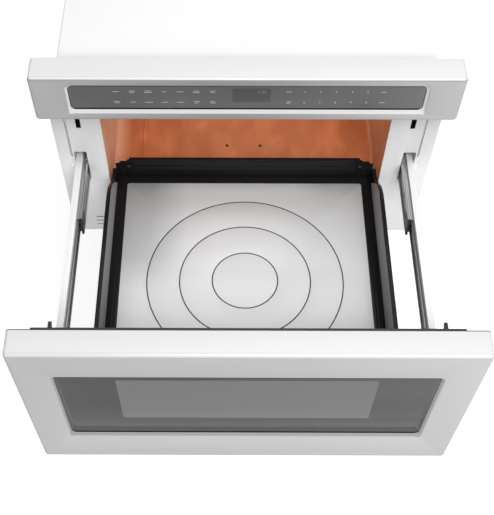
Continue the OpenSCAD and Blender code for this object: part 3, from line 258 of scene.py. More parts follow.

# Oven cavity: folded and welded sheet with a warm copper-brown enamel, fired on. The enamel
# runs a little while it melts, so it is mottled and its gloss changes from place to place. The
# left wall is painted paler as a painted highlight, and the right wall has a painted tone for the light on
# it.

warm_enamel = new_finish("warm_enamel", (0.52, 0.18, 0.07), roughness=0.4, coat=0.1, coat_roughness=0.2)
mottle = object_pattern(warm_enamel, 22.0, stretch=(1.0, 0.55, 1.0), detail=2.0, distortion=0.4)
enamel_tone = vary_colour(warm_enamel, mottle, (0.46, 0.145, 0.055), (0.60, 0.205, 0.08), low=0.38, high=0.66)
# Painted light: the left wall is painted paler as a painted highlight, and past x = 216 mm the right wall
# gets a painted tone for the light falling on it.
left_wall_painted_light = below(warm_enamel, (1, 0, 0), edge=-206.0 * mm, soft=13.0 * mm)
left_painted_highlight_tone = mix_colour(warm_enamel, left_wall_painted_light, enamel_tone, (0.75, 0.41, 0.26))
short_of_painted_light = below(warm_enamel, (1, 0, 0), edge=216.0 * mm, soft=1.0 * mm)
use_colour(warm_enamel, mix_colour(warm_enamel, short_of_painted_light, (0.56, 0.25, 0.14), left_painted_highlight_tone))
vary_roughness(warm_enamel, mottle, 0.48, 0.36)
warm_enamel.node_tree.nodes["Principled BSDF"].inputs["Specular IOR Level"].default_value = 0.3
add_bump(warm_enamel, object_pattern(warm_enamel, 60.0), 0.15, 0.6 * mm)
dress(warm_enamel, "oven_cavity")

# Oven lamp: a small bulb in a ceramic holder, inside a folded tin box on the right cavity wall.
# It lights the cavity through a field of small holes.

lamp_tin = new_finish("lamp_tin", (0.7, 0.7, 0.72), metallic=0.95, roughness=0.35)
vary_roughness(lamp_tin, object_pattern(lamp_tin, 90.0), 0.28, 0.45)
dress(lamp_tin, "oven_lamp")

# Stirrer: a four-armed aluminium blade on a geared motor, over the mica cover in the cavity roof.
# The motor sits on the waveguide, a folded and spot-welded box that leads to the magnetron.

mica = new_finish("mica", (0.45, 0.38, 0.22), roughness=0.35)
vary_colour(mica, object_pattern(mica, 80.0, detail=4.0), (0.38, 0.31, 0.17), (0.55, 0.47, 0.29))
dress(mica, "stirrer_cover")

mill_aluminium = new_finish("mill_aluminium", (0.8, 0.8, 0.82), metallic=1.0, roughness=0.35)
vary_roughness(mill_aluminium, object_pattern(mill_aluminium, 30.0, stretch=(1.0, 40.0, 1.0)), 0.28, 0.48)
dress(mill_aluminium, "stirrer_blade")
dress(zinc_sheet, "waveguide")

motor_zinc = new_finish("motor_zinc", (0.5, 0.5, 0.52), metallic=0.95, roughness=0.38)
vary_roughness(motor_zinc, object_pattern(motor_zinc, 120.0), 0.3, 0.48)
dress(motor_zinc, "stirrer_motor", "fan_motor", "drive_motor")

# Magnetron: a copper anode between pressed cooling fins in a zinc-plated yoke. The fan blows
# through a moulded duct across the fins.

fin_metal = new_finish("fin_metal", (0.56, 0.56, 0.58), metallic=0.95, roughness=0.3)
vary_colour(fin_metal, object_pattern(fin_metal, 25.0), (0.48, 0.48, 0.5), (0.64, 0.63, 0.62))
dress(fin_metal, "magnetron")

duct_plastic = new_finish("duct_plastic", (0.12, 0.125, 0.13), roughness=0.5)
add_bump(duct_plastic, object_pattern(duct_plastic, 1200.0), 0.2, 0.1 * mm)
dress(duct_plastic, "fan_duct")

black_plastic = new_finish("black_plastic", (0.014, 0.014, 0.014), roughness=0.42)
add_bump(black_plastic, object_pattern(black_plastic, 1100.0), 0.2, 0.1 * mm)
vary_roughness(black_plastic, object_pattern(black_plastic, 15.0), 0.36, 0.5)
dress(black_plastic, "fan_blade", "hv_diode")

# High-voltage parts: a transformer of varnished laminations with enamelled windings, a drawn
# aluminium capacitor can in its clamp, and a moulded diode, all screwed to the base plate.

varnished_iron = new_finish("varnished_iron", (0.05, 0.042, 0.036), metallic=0.4, roughness=0.45)
laminations = object_pattern(varnished_iron, 20.0, stretch=(1.0, 80.0, 1.0))
vary_colour(varnished_iron, laminations, (0.035, 0.03, 0.027), (0.09, 0.07, 0.055))
add_bump(varnished_iron, laminations, 0.35, 0.3 * mm)
dress(varnished_iron, "hv_transformer")

drawn_can = new_finish("drawn_can", (0.72, 0.72, 0.74), metallic=1.0, roughness=0.32)
vary_roughness(drawn_can, object_pattern(drawn_can, 12.0, stretch=(30.0, 30.0, 1.0)), 0.25, 0.42)
dress(drawn_can, "hv_capacitor")

# Boards: glass-fibre laminate with a green solder mask, on moulded stand-offs. The thermal
# cut-out is a glazed ceramic disc switch on the cavity roof.

solder_mask = new_finish("solder_mask", (0.015, 0.10, 0.035), roughness=0.32)
copper_below = object_pattern(solder_mask, 220.0, detail=1.0)
vary_colour(solder_mask, copper_below, (0.012, 0.08, 0.028), (0.03, 0.15, 0.055))
dress(solder_mask, "control_board", "power_board", "noise_filter")

glazed_ceramic = new_finish("glazed_ceramic", (0.74, 0.70, 0.60), roughness=0.2, coat=0.4)
vary_colour(glazed_ceramic, object_pattern(glazed_ceramic, 60.0), (0.70, 0.66, 0.56), (0.78, 0.74, 0.65))
dress(glazed_ceramic, "thermal_cutout")

# Telescopic slides: three roll-formed steel members a side, with balls in cages between them
# and a moulded end stop on the middle one. The fixed member is screwed to box brackets.

slide_zinc = new_finish("slide_zinc", (0.5, 0.5, 0.5), metallic=0.55, roughness=0.36)
draw_lines = object_pattern(slide_zinc, 500.0, stretch=(1.0, 0.004, 1.0), detail=2.0)
vary_colour(slide_zinc, draw_lines, (0.20, 0.20, 0.203), (0.72, 0.72, 0.723))
vary_roughness(slide_zinc, draw_lines, 0.24, 0.4)
dress(slide_zinc, "rail_outer_left", "rail_outer_right", "rail_middle_left", "rail_middle_right")
dress(zinc_sheet, "rail_supports")

# Painted shade: the inner members are a darker copy of the slide zinc, for the shadow under the arm's flange.
inner_zinc_painted_shade = new_finish("inner_zinc_painted_shade", (0.24, 0.245, 0.25), metallic=0.85, roughness=0.34)
inner_lines = object_pattern(inner_zinc_painted_shade, 500.0, stretch=(1.0, 0.004, 1.0), detail=2.0)
vary_colour(inner_zinc_painted_shade, inner_lines, (0.25, 0.255, 0.26), (0.44, 0.445, 0.45))
dress(inner_zinc_painted_shade, "rail_inner_left", "rail_inner_right")

cage_zinc = new_finish("cage_zinc", (0.55, 0.48, 0.25), metallic=0.9, roughness=0.32)
vary_colour(cage_zinc, object_pattern(cage_zinc, 200.0), (0.5, 0.44, 0.24), (0.62, 0.56, 0.34))
dress(cage_zinc, "cage_outer_left", "cage_outer_right", "cage_inner_left", "cage_inner_right")
eased(black_plastic, 0.4 * mm, "slide_stop_left", "slide_stop_right")

# Drive: an acetal pinion on the motor's shaft runs along an acetal rack under the pan. The
# motor hangs on a zinc-plated bracket between the base plate and the cavity floor.

acetal = new_finish("acetal", (0.76, 0.74, 0.67), roughness=0.38)
acetal.node_tree.nodes["Principled BSDF"].inputs["Subsurface Weight"].default_value = 0.08
vary_colour(acetal, object_pattern(acetal, 40.0), (0.73, 0.71, 0.64), (0.79, 0.775, 0.71))
dress(acetal, "drive_pinion", "drive_rack")
dress(zinc_sheet, "motor_bracket")

# Interlock: two moulded fingers on the drawer front pass through the latch slots of the front
# plate, into moulded housings that hold a switch with a sprung red plunger on each side.

switch_plastic = new_finish("switch_plastic", (0.05, 0.052, 0.055), roughness=0.4)
add_bump(switch_plastic, object_pattern(switch_plastic, 1400.0), 0.15, 0.1 * mm)
dress(switch_plastic, "interlock_switches")
dress(black_plastic, "latch_housings")
eased(black_plastic, 0.6 * mm, "interlock_fingers")

red_plastic = new_finish("red_plastic", (0.5, 0.02, 0.018), roughness=0.3)
vary_colour(red_plastic, object_pattern(red_plastic, 300.0), (0.46, 0.018, 0.016), (0.55, 0.024, 0.02))
dress(red_plastic, "switch_plunger_left", "switch_plunger_right")

# Control panel and drawer front: deep-drawn housings of stainless steel with a fine satin
# brush along their width, and a bevelled recess for the glass. The top faces are painted paler
# than the front as painted light, and a painted shadow line ends the drawer front at the back.

# Each row: the frame and its glass; the front's tone; a tone for its lower part, painted light where it is
# paler; a painted-shade tone for its middle; the painted-light top; the bevel's tone, a painted highlight on
# the control panel and painted shade on the door; the crown height; and where the painted shadow line at the
# back starts.
for node, glass, face, low_painted_light_tone, middle_painted_shade_tone, top, bevel, crown, rear in (
    ("control_frame", "control_glass", 0.45, 0.44, 0.32, 0.785, 0.78, 2.0 * mm, 40.0 * mm),
    ("door_frame", "door_glass", 0.50, 0.555, 0.50, 0.68, 0.36, 4.0 * mm, -384.8 * mm),
):
    frame_low, frame_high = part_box(node)
    glass_low, glass_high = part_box(glass)
    satin_steel = new_finish("satin_steel_" + node, (face, face, face), metallic=0.15, roughness=0.44)
    brush_lines = object_pattern(satin_steel, 700.0, stretch=(0.006, 1.0, 1.0), detail=2.0)
    front_painted_light_and_shade = vary_colour(satin_steel, brush_lines, (0.96 * face,) * 3, (1.04 * face,) * 3)
    # Painted shade: the control panel's front is darker across its middle.
    middle_painted_shade = inside_field(satin_steel, (-35.0 * mm, 0.0), (130.0 * mm, 1.0), soft=110.0 * mm)
    front_painted_light_and_shade = mix_colour(satin_steel, middle_painted_shade, front_painted_light_and_shade, (middle_painted_shade_tone,) * 3)
    # Painted light: where its low tone is paler, the front is paler towards the bottom.
    if low_painted_light_tone > face:
        painted_light_downward = below(satin_steel, (0, 0, 1), edge=(frame_low[2] + frame_high[2]) / 2, soft=90.0 * mm)
        front_painted_light_and_shade = mix_colour(satin_steel, painted_light_downward, front_painted_light_and_shade, (low_painted_light_tone,) * 3)
    # Painted light: both fronts are paler towards the right.
    short_of_painted_light = below(satin_steel, (1, 0, 0), edge=190.0 * mm, soft=120.0 * mm)
    front_painted_light_and_shade = mix_colour(satin_steel, short_of_painted_light, (1.14 * face,) * 3, front_painted_light_and_shade)
    # Round the glass the bevel is painted: a painted highlight on the control panel, painted shade on the
    # door.
    side_bevel, low_bevel = 3.0 * mm, 5.6 * mm
    well_centre = (0.0, (glass_low[2] + glass_high[2] - low_bevel) / 2)
    well_half = (glass_high[0] + side_bevel, (glass_high[2] - glass_low[2] + low_bevel) / 2)
    bevel_painted_light_and_shade = inside_field(satin_steel, well_centre, well_half, soft=0.3 * mm)
    front_painted_light_and_shade = mix_colour(satin_steel, bevel_painted_light_and_shade, front_painted_light_and_shade, (bevel,) * 3)
    # Painted shade: a darker band under the rounded top edge.
    under_painted_shade_shoulder = below(satin_steel, (0, 0, 1), edge=frame_high[2] - 4.2 * mm, soft=1.4 * mm)
    front_painted_light_and_shade = mix_colour(satin_steel, under_painted_shade_shoulder, (0.64 * face,) * 3, front_painted_light_and_shade)
    # Painted light: the top faces are paler towards the back than near the front edge.
    painted_light_ramp_nearer = below(satin_steel, (0, 1, 0), edge=frame_low[1] + 20.0 * mm, soft=20.0 * mm)
    top_painted_light = mix_colour(satin_steel, painted_light_ramp_nearer, (1.1 * top,) * 3, (0.97 * top,) * 3)
    # Painted shade: a darker crest along the top face's front edge.
    crest_painted_shade = below(satin_steel, (0, 1, 0), edge=frame_low[1] + 5.0 * mm, soft=1.5 * mm)
    top_painted_light = mix_colour(satin_steel, crest_painted_shade, top_painted_light, (0.84 * top,) * 3)
    # The top faces take the painted-light top tone, the front faces their own darker one.
    below_painted_top = below(satin_steel, (0, 0, 1), edge=frame_high[2] - crown, soft=0.25 * mm)
    body = mix_colour(satin_steel, below_painted_top, top_painted_light, front_painted_light_and_shade)
    skin = below(satin_steel, (0, 1, 0), edge=frame_low[1] + 6.0 * mm, soft=0.3 * mm)
    body = mix_colour(satin_steel, skin, top_painted_light, body)
    # Painted shadow: a dark line at the back edge of the drawer front.
    before_painted_shadow_line = below(satin_steel, (0, 1, 0), edge=rear, soft=0.1 * mm)
    use_colour(satin_steel, mix_colour(satin_steel, before_painted_shadow_line, (0.03, 0.03, 0.03), body))
    vary_roughness(satin_steel, brush_lines, 0.38, 0.46)
    add_bump(satin_steel, brush_lines, 0.03, 0.05 * mm)
    eased(satin_steel, 0.5 * mm, node)

# Front glasses: toughened grey glass, 4 mm thick, with ground edges and a print on the back.
# The window has a clear field in the print, behind which the perforated screen shows. A painted
# shadow darkens a thin band round each glass and, without gloss, a broader one along the lower
# edge of both; painted light makes both paler to the right, and painted shade darkens the
# window glass towards the bottom.


def dull_where(finish, low_edge_painted_shadow, gloss):
    """Takes the gloss off where a field is one."""
    tree = finish.node_tree
    bare = combined(tree, "SUBTRACT", 1.0, low_edge_painted_shadow)
    gloss = combined(tree, "MULTIPLY", bare, gloss)
    tree.links.new(gloss, tree.nodes["Principled BSDF"].inputs["Specular IOR Level"])


door_glass_low, door_glass_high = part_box("door_glass")
window_centre = ((door_glass_low[0] + door_glass_high[0]) / 2, 180.5 * mm)
window_half = (171.0 * mm, 58.0 * mm)
door_glass_half = ((door_glass_high[0] - door_glass_low[0]) / 2, (door_glass_high[2] - door_glass_low[2]) / 2)
door_glass_centre = (window_centre[0], (door_glass_high[2] + door_glass_low[2]) / 2)

window_glass = new_finish("window_glass", (0.08, 0.08, 0.083), roughness=0.1)
smear = object_pattern(window_glass, 4.0, detail=2.0)
print_with_painted_light = vary_colour(window_glass, smear, (0.052, 0.052, 0.053), (0.066, 0.066, 0.067))
# Painted light: the glass is paler towards the right.
short_of_painted_light = below(window_glass, (1, 0, 0), edge=100.0 * mm, soft=160.0 * mm)
print_with_painted_light = mix_colour(window_glass, short_of_painted_light, (0.085, 0.085, 0.086), print_with_painted_light)
# Painted shade: the glass is darker towards the bottom, with less gloss there.
lower_painted_shade = below(window_glass, (0, 0, 1), edge=window_centre[1] - 30.0 * mm, soft=60.0 * mm)
print_with_painted_light = mix_colour(window_glass, lower_painted_shade, print_with_painted_light, (0.024, 0.024, 0.024))
clear = inside_field(window_glass, window_centre, window_half, soft=0.6 * mm)
body_tone = mix_colour(window_glass, clear, print_with_painted_light, (0.150, 0.150, 0.152))
low_band = below(window_glass, (0, 0, 1), edge=window_centre[1] - window_half[1], soft=0.6 * mm)
body_tone = mix_colour(window_glass, low_band, body_tone, (0.020, 0.020, 0.021))
# Painted shadow: a thin dark band round the glass's edge.
edge_painted_shadow = inside_field(window_glass, door_glass_centre, [h - 1.2 * mm for h in door_glass_half], soft=0.3 * mm)
painted_shadow_edged_tone = mix_colour(window_glass, edge_painted_shadow, (0.018, 0.018, 0.018), body_tone)
# Painted shadow: a black band without gloss along the glass's lower edge.
low_edge_painted_shadow = below(window_glass, (0, 0, 1), edge=door_glass_low[2] + 5.2 * mm, soft=0.3 * mm)
use_colour(window_glass, mix_colour(window_glass, low_edge_painted_shadow, painted_shadow_edged_tone, (0.012, 0.012, 0.012)))
gloss_loss = combined(window_glass.node_tree, "MULTIPLY", lower_painted_shade, 0.19)
dull_where(window_glass, low_edge_painted_shadow, combined(window_glass.node_tree, "SUBTRACT", 0.5, gloss_loss))
vary_roughness(window_glass, smear, 0.07, 0.13)
eased(window_glass, 0.5 * mm, "door_glass")

key_glass_low, key_glass_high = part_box("control_glass")
key_glass_centre = ((key_glass_low[0] + key_glass_high[0]) / 2, (key_glass_low[2] + key_glass_high[2]) / 2)
key_glass_half = ((key_glass_high[0] - key_glass_low[0]) / 2, (key_glass_high[2] - key_glass_low[2]) / 2)
display_centre = (6.5 * mm, 362.9 * mm)
display_half = (27.0 * mm, 13.5 * mm)

key_glass = new_finish("key_glass", (0.10, 0.10, 0.103), roughness=0.3)
key_smear = object_pattern(key_glass, 5.0, detail=2.0)
key_tone = vary_colour(key_glass, key_smear, (0.100, 0.100, 0.102), (0.120, 0.120, 0.122))
# Painted light: the key glass is paler towards the right.
key_painted_light_side = below(key_glass, (1, 0, 0), edge=120.0 * mm, soft=110.0 * mm)
key_tone = mix_colour(key_glass, key_painted_light_side, (0.145, 0.145, 0.147), key_tone)
display = inside_field(key_glass, display_centre, display_half, soft=0.5 * mm)
panel_tone = mix_colour(key_glass, display, key_tone, (0.074, 0.074, 0.076))
# Painted shadow: a thin dark band round the glass's edge.
key_edge_painted_shadow = inside_field(key_glass, key_glass_centre, [h - 1.0 * mm for h in key_glass_half], soft=0.3 * mm)
key_painted_shadow_edged = mix_colour(key_glass, key_edge_painted_shadow, (0.018, 0.018, 0.018), panel_tone)
# Painted shadow: a black band without gloss along the glass's lower edge.
key_low_edge_painted_shadow = below(key_glass, (0, 0, 1), edge=key_glass_low[2] + 3.2 * mm, soft=0.2 * mm)
use_colour(key_glass, mix_colour(key_glass, key_low_edge_painted_shadow, key_painted_shadow_edged, (0.012, 0.012, 0.012)))
dull_where(key_glass, key_low_edge_painted_shadow, 0.5)
vary_roughness(key_glass, key_smear, 0.28, 0.36)
eased(key_glass, 0.5 * mm, "control_glass")

# Key print: ceramic ink on the control glass, fired on in a thin raised layer. Each touch key
# has one or two plain bars, the number keys have their digits, and the display a few figures.

ink_t = 0.05 * mm
ink_y = key_glass_low[1]
key_ink = new_finish("key_ink", (0.52, 0.52, 0.52), roughness=0.45)
vary_colour(key_ink, object_pattern(key_ink, 500.0), (0.48, 0.48, 0.48), (0.56, 0.56, 0.56))
key_rows = (369.6 * mm, 349.0 * mm)
left_keys = [(-183.0 + 22.5 * i) * mm for i in range(7)]
right_keys = [(59.0 + 21.95 * i) * mm for i in range(7)]
bar_h = 0.95 * mm
bar_step = 2.9 * mm
digit_h = 5.2 * mm
clock_h = 8.0 * mm
left_bars = (
    ((9.0,), (8.0, 7.0), (9.5, 11.0), (6.5,), (10.0,), (8.5, 9.5), (8.5, 6.0)),
    ((9.5, 7.0), (7.5,), (12.0,), (9.0,), (10.0,), (8.5, 6.0), (7.0, 8.0)),
)
right_bars = (((8.0,), (8.0,)), ((6.5, 6.0), (8.0,)))


def print_on_glass(shape, mesh, x, z):
    """Turns a flat figure to face the front and adds it to the print."""
    mesh.transform(Matrix.Translation((x, ink_y, z)) @ Matrix.Rotation(math.radians(90), 4, "X"))
    shape.from_mesh(mesh)
    bpy.data.meshes.remove(mesh)


def add_bar(shape, x, z, width, height):
    """A thin bar with rounded ends."""
    bar = bmesh.new()
    bmesh.ops.create_grid(bar, x_segments=1, y_segments=1, size=0.5)
    bmesh.ops.scale(bar, vec=(width, height, 1.0), verts=bar.verts)
    bmesh.ops.bevel(bar, geom=bar.verts[:], offset=height * 0.45, segments=3, profile=0.5,
                    affect="VERTICES", material=-1)
    lifted = bmesh.ops.extrude_face_region(bar, geom=bar.faces[:])["geom"]
    raised = [part for part in lifted if isinstance(part, bmesh.types.BMVert)]
    bmesh.ops.translate(bar, vec=(0, 0, ink_t), verts=raised)
    bmesh.ops.recalc_face_normals(bar, faces=bar.faces)
    mesh = bpy.data.meshes.new("bar")
    bar.to_mesh(mesh)
    bar.free()
    print_on_glass(shape, mesh, x, z)


def add_figures(shape, text, x, z, size):
    """Digits as thin solid shapes, centred on a point of the glass."""
    curve = bpy.data.curves.new("figure", "FONT")
    curve.body = text
    curve.size = size
    curve.align_x = "CENTER"
    curve.align_y = "CENTER"
    curve.extrude = ink_t / 2
    curve.resolution_u = 3
    holder = bpy.data.objects.new("figure", curve)
    mesh = bpy.data.meshes.new_from_object(holder)
    mesh.transform(Matrix.Translation((0, 0, ink_t / 2)))
    bpy.data.objects.remove(holder)
    bpy.data.curves.remove(curve)
    print_on_glass(shape, mesh, x, z)


keys = bmesh.new()
for row, z in enumerate(key_rows):
    end_keys = (right_keys[0], right_keys[6])
    for x, widths in [*zip(left_keys, left_bars[row]), *zip(end_keys, right_bars[row])]:
        for line, width in enumerate(widths):
            height = z + (bar_step * (0.5 - line) if len(widths) == 2 else 0.0)
            add_bar(keys, x, height, width * mm, bar_h)
    for digit in range(5):
        add_figures(keys, str((digit + 1 + 5 * row) % 10), right_keys[digit + 1], z, digit_h)
add_piece("key_print", keys, key_ink, "chassis")

display_ink = new_finish("display_ink", (0.20, 0.20, 0.205), roughness=0.3)
vary_colour(display_ink, object_pattern(display_ink, 300.0), (0.17, 0.17, 0.175), (0.23, 0.23, 0.235))
clock = bmesh.new()
add_figures(clock, "1:02", 21.0 * mm, 369.0 * mm, clock_h)
add_piece("display_figures", clock, display_ink, "chassis")

# Window screen and choke: behind the glass a perforated enamelled screen, and round it a bright
# steel channel whose inner wall is cut into fingers. A black moulded cover closes the back.

screen_enamel = new_finish("screen_enamel", (0.18, 0.18, 0.185), metallic=0.3, roughness=0.4)
vary_roughness(screen_enamel, object_pattern(screen_enamel, 30.0), 0.34, 0.48)
dress(screen_enamel, "door_screen")

bright_steel = new_finish("bright_steel", (0.62, 0.63, 0.64), metallic=1.0, roughness=0.25)
vary_roughness(bright_steel, object_pattern(bright_steel, 60.0), 0.2, 0.35)
dress(bright_steel, "choke_frame")

cover_plastic = new_finish("cover_plastic", (0.012, 0.012, 0.012), roughness=0.36)
vary_roughness(cover_plastic, object_pattern(cover_plastic, 14.0), 0.3, 0.44)
add_bump(cover_plastic, object_pattern(cover_plastic, 900.0), 0.12, 0.1 * mm)
eased(cover_plastic, 0.4 * mm, "choke_cover")

# Drawer arms: folded steel angles, 1.5 mm thick, with a pale stoved finish. Each carries the drawer
# member of its slide and is screwed through its foot to the drawer front.

arm_steel = new_finish("arm_steel", (0.94, 0.94, 0.94), metallic=0.0, roughness=0.42)
arm_lines = object_pattern(arm_steel, 400.0, stretch=(1.0, 0.01, 1.0), detail=2.0)
vary_colour(arm_steel, arm_lines, (0.93, 0.93, 0.93), (0.96, 0.96, 0.96))
eased(arm_steel, 0.3 * mm, "drawer_arm_left", "drawer_arm_right")

# Pan: four pressed steel parts in black enamel, screwed together at the rear corners. The side
# walls have a rolled rim and a duller gloss on their inner faces, which are painted grey as a
# painted reflection, a little darker towards the bottom; the base has a ledge round the glass plate.

black_enamel = new_finish("black_enamel", (0.010, 0.010, 0.010), roughness=0.2)
vary_roughness(black_enamel, object_pattern(black_enamel, 8.0), 0.16, 0.24)
black_enamel.node_tree.nodes["Principled BSDF"].inputs["Specular IOR Level"].default_value = 0.16
add_bump(black_enamel, object_pattern(black_enamel, 120.0, detail=1.0), 0.06, 0.2 * mm)
eased(black_enamel, 0.35 * mm, "pan_base", "pan_rear")

side_enamel = new_finish("side_enamel", (0.010, 0.010, 0.010), roughness=0.2)
side_low, side_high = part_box("pan_side_right")
side_h = side_high[2] - side_low[2]
# Painted reflection: the walls' inner faces are painted grey, a little darker towards the bottom.
across = inside_field(side_enamel, (0.0, side_low[2]), (208.3 * mm, side_h - 1.6 * mm), soft=0.1 * mm)
along = below(side_enamel, (0, 1, 0.82), edge=102.5 * mm, soft=0.5 * mm)
wall_painted_reflection = combined(side_enamel.node_tree, "MULTIPLY", across, along)
painted_reflection_low_wall = below(side_enamel, (0, 0, 1), edge=side_low[2] + 0.6 * side_h, soft=0.4 * side_h)
painted_reflection_tone = mix_colour(side_enamel, painted_reflection_low_wall, (0.25, 0.25, 0.25), (0.23, 0.23, 0.23))
use_colour(side_enamel, mix_colour(side_enamel, wall_painted_reflection, (0.010, 0.010, 0.010), painted_reflection_tone))
vary_roughness(side_enamel, wall_painted_reflection, 0.2, 0.5)
side_enamel.node_tree.nodes["Principled BSDF"].inputs["Specular IOR Level"].default_value = 0.16
add_bump(side_enamel, object_pattern(side_enamel, 120.0, detail=1.0), 0.06, 0.2 * mm)
eased(side_enamel, 0.35 * mm, "pan_side_left", "pan_side_right")

# Glass plate: white glass ceramic, 5 mm thick, with a glossy top, an eased edge and three thin
# rings, ground in and filled with dark ink. Its milk varies a little at random, and painted light
# and shade lie on it: a painted highlight down the middle, painted light along the front edge and
# at the middle of the rear one, and painted shade in the rear corners, at the left of the rear
# half and in a small patch behind the middle. It lies loose on the ledge of the pan.

plate_low, plate_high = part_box("glass_plate")
plate_centre = ((plate_low[0] + plate_high[0]) / 2, (plate_low[1] + plate_high[1]) / 2)
ring_radii = (50.0 * mm, 100.0 * mm, 150.0 * mm)
ring_w = 0.95 * mm

white_glass = new_finish("white_glass", (0.62, 0.62, 0.62), roughness=0.16)
white_glass.node_tree.nodes["Principled BSDF"].inputs["Specular IOR Level"].default_value = 0.25
tree = white_glass.node_tree
place = tree.nodes.new("ShaderNodeTexCoord")
mapping = tree.nodes.new("ShaderNodeMapping")
mapping.inputs["Location"].default_value = (-plate_centre[0], -plate_centre[1], 0.0)
mapping.inputs["Scale"].default_value = (1.0, 1.0, 0.0)
radius = tree.nodes.new("ShaderNodeVectorMath")
radius.operation = "LENGTH"
tree.links.new(place.outputs["Object"], mapping.inputs["Vector"])
tree.links.new(mapping.outputs["Vector"], radius.inputs[0])
inked = None
for ring in ring_radii:
    near_ring = tree.nodes.new("ShaderNodeMath")
    near_ring.operation = "COMPARE"
    near_ring.inputs[1].default_value = ring
    near_ring.inputs[2].default_value = ring_w
    tree.links.new(radius.outputs["Value"], near_ring.inputs[0])
    on_ring = near_ring.outputs["Value"]
    inked = on_ring if inked is None else combined(tree, "MAXIMUM", inked, on_ring)
milk_and_painted_light = vary_colour(white_glass, object_pattern(white_glass, 6.0), (0.68, 0.692, 0.70), (0.71, 0.722, 0.73))
# Painted light and shade on the milk: a painted highlight strip down the middle, and painted shade at the
# rear outside the middle.
middle = inside_field(white_glass, (-10.0 * mm, plate_low[1]), (120.0 * mm, 260.0 * mm), 60.0 * mm, "XY")
short_of_painted_rear_shade = below(white_glass, (0, 1, 0), edge=plate_high[1] - 80.0 * mm, soft=80.0 * mm)
painted_highlight_strip = inside_field(white_glass, (-45.0 * mm, plate_centre[1]), (70.0 * mm, 300.0 * mm), 90.0 * mm, "XY")
milk_and_painted_light = mix_colour(white_glass, painted_highlight_strip, milk_and_painted_light, (0.87, 0.877, 0.88))
rear_corners_painted_shade = mix_colour(white_glass, short_of_painted_rear_shade, (0.43, 0.435, 0.44), milk_and_painted_light)
milk_and_painted_light = mix_colour(white_glass, middle, rear_corners_painted_shade, milk_and_painted_light)
# Each row: centre, half size, softness, share and the tone it goes towards; painted light at the rear middle
# and the front, painted shade at the left and behind the middle.
for centre, half, soft, painted_share, painted_tone in (
    ((-10.0 * mm, 30.0 * mm), (115.0 * mm, 40.0 * mm), 25.0 * mm, 0.60, 0.95),
    ((-220.0 * mm, 20.0 * mm), (100.0 * mm, 200.0 * mm), 30.0 * mm, 0.27, 0.0),
    ((-45.0 * mm, -130.0 * mm), (60.0 * mm, 30.0 * mm), 40.0 * mm, 0.12, 0.0),
    ((-10.0 * mm, -320.0 * mm), (190.0 * mm, 110.0 * mm), 35.0 * mm, 0.62, 1.0),
):
    part = combined(tree, "MULTIPLY", inside_field(white_glass, centre, half, soft, "XY"), painted_share)
    milk_and_painted_light = mix_colour(white_glass, part, milk_and_painted_light, (painted_tone, painted_tone, painted_tone))
use_colour(white_glass, mix_colour(white_glass, inked, milk_and_painted_light, (0.045, 0.045, 0.045)))
vary_roughness(white_glass, object_pattern(white_glass, 9.0), 0.12, 0.2)
eased(white_glass, 0.8 * mm, "glass_plate")

# Screws: cold-formed pan heads with a cross recess. Eight in bright zinc hold the rear cover
# and two its top edge. Two in dark steel hold the motor bracket from the cavity floor, and six
# the pan.

bright_zinc = new_finish("bright_zinc", (0.60, 0.60, 0.61), metallic=1.0, roughness=0.34)
vary_colour(bright_zinc, object_pattern(bright_zinc, 300.0), (0.54, 0.54, 0.55), (0.66, 0.66, 0.66))
vary_roughness(bright_zinc, object_pattern(bright_zinc, 400.0), 0.26, 0.42)
dark_steel = new_finish("dark_steel", (0.05, 0.045, 0.04), metallic=0.7, roughness=0.45)
vary_roughness(dark_steel, object_pattern(dark_steel, 400.0), 0.38, 0.55)


def screw_places(node):
    """Centre, direction, head and shank of every screw in a node, read from its mesh."""
    source = bmesh.new()
    source.from_mesh(frame["nodes"][node].data)
    bmesh.ops.remove_doubles(source, verts=source.verts, dist=0.002 * mm)
    left = set(source.verts)
    places = []
    while left:
        island, edge = set(), [left.pop()]
        while edge:
            vert = edge.pop()
            island.add(vert)
            for other in (e.other_vert(vert) for e in vert.link_edges):
                if other in left:
                    left.remove(other)
                    edge.append(other)
        low = Vector([min(v.co[k] for v in island) for k in range(3)])
        high = Vector([max(v.co[k] for v in island) for k in range(3)])
        size = high - low
        axis = min(range(3), key=lambda k: abs(size[(k + 1) % 3] - size[(k + 2) % 3]))
        middle = (low + high) / 2
        across = [(v.co - middle) for v in island]
        reach = [math.hypot(c[(axis + 1) % 3], c[(axis + 2) % 3]) for c in across]
        head_r = max(reach)
        head = [c[axis] for c, r in zip(across, reach) if r > 0.9 * head_r]
        shank_r = max((r for c, r in zip(across, reach) if r <= 0.9 * head_r), default=head_r * 0.5)
        way = 1.0 if sum(head) > 0 else -1.0
        direction = Vector([way if k == axis else 0.0 for k in range(3)])
        seat = middle.copy()
        seat[axis] = middle[axis] + way * min(way * h for h in head)
        top = max(way * h for h in head)
        seat_at = min(way * h for h in head)
        places.append((seat, direction, head_r, top - seat_at, shank_r, seat_at + size[axis] / 2))
    source.free()
    return sorted(places, key=lambda place: tuple(place[0]))


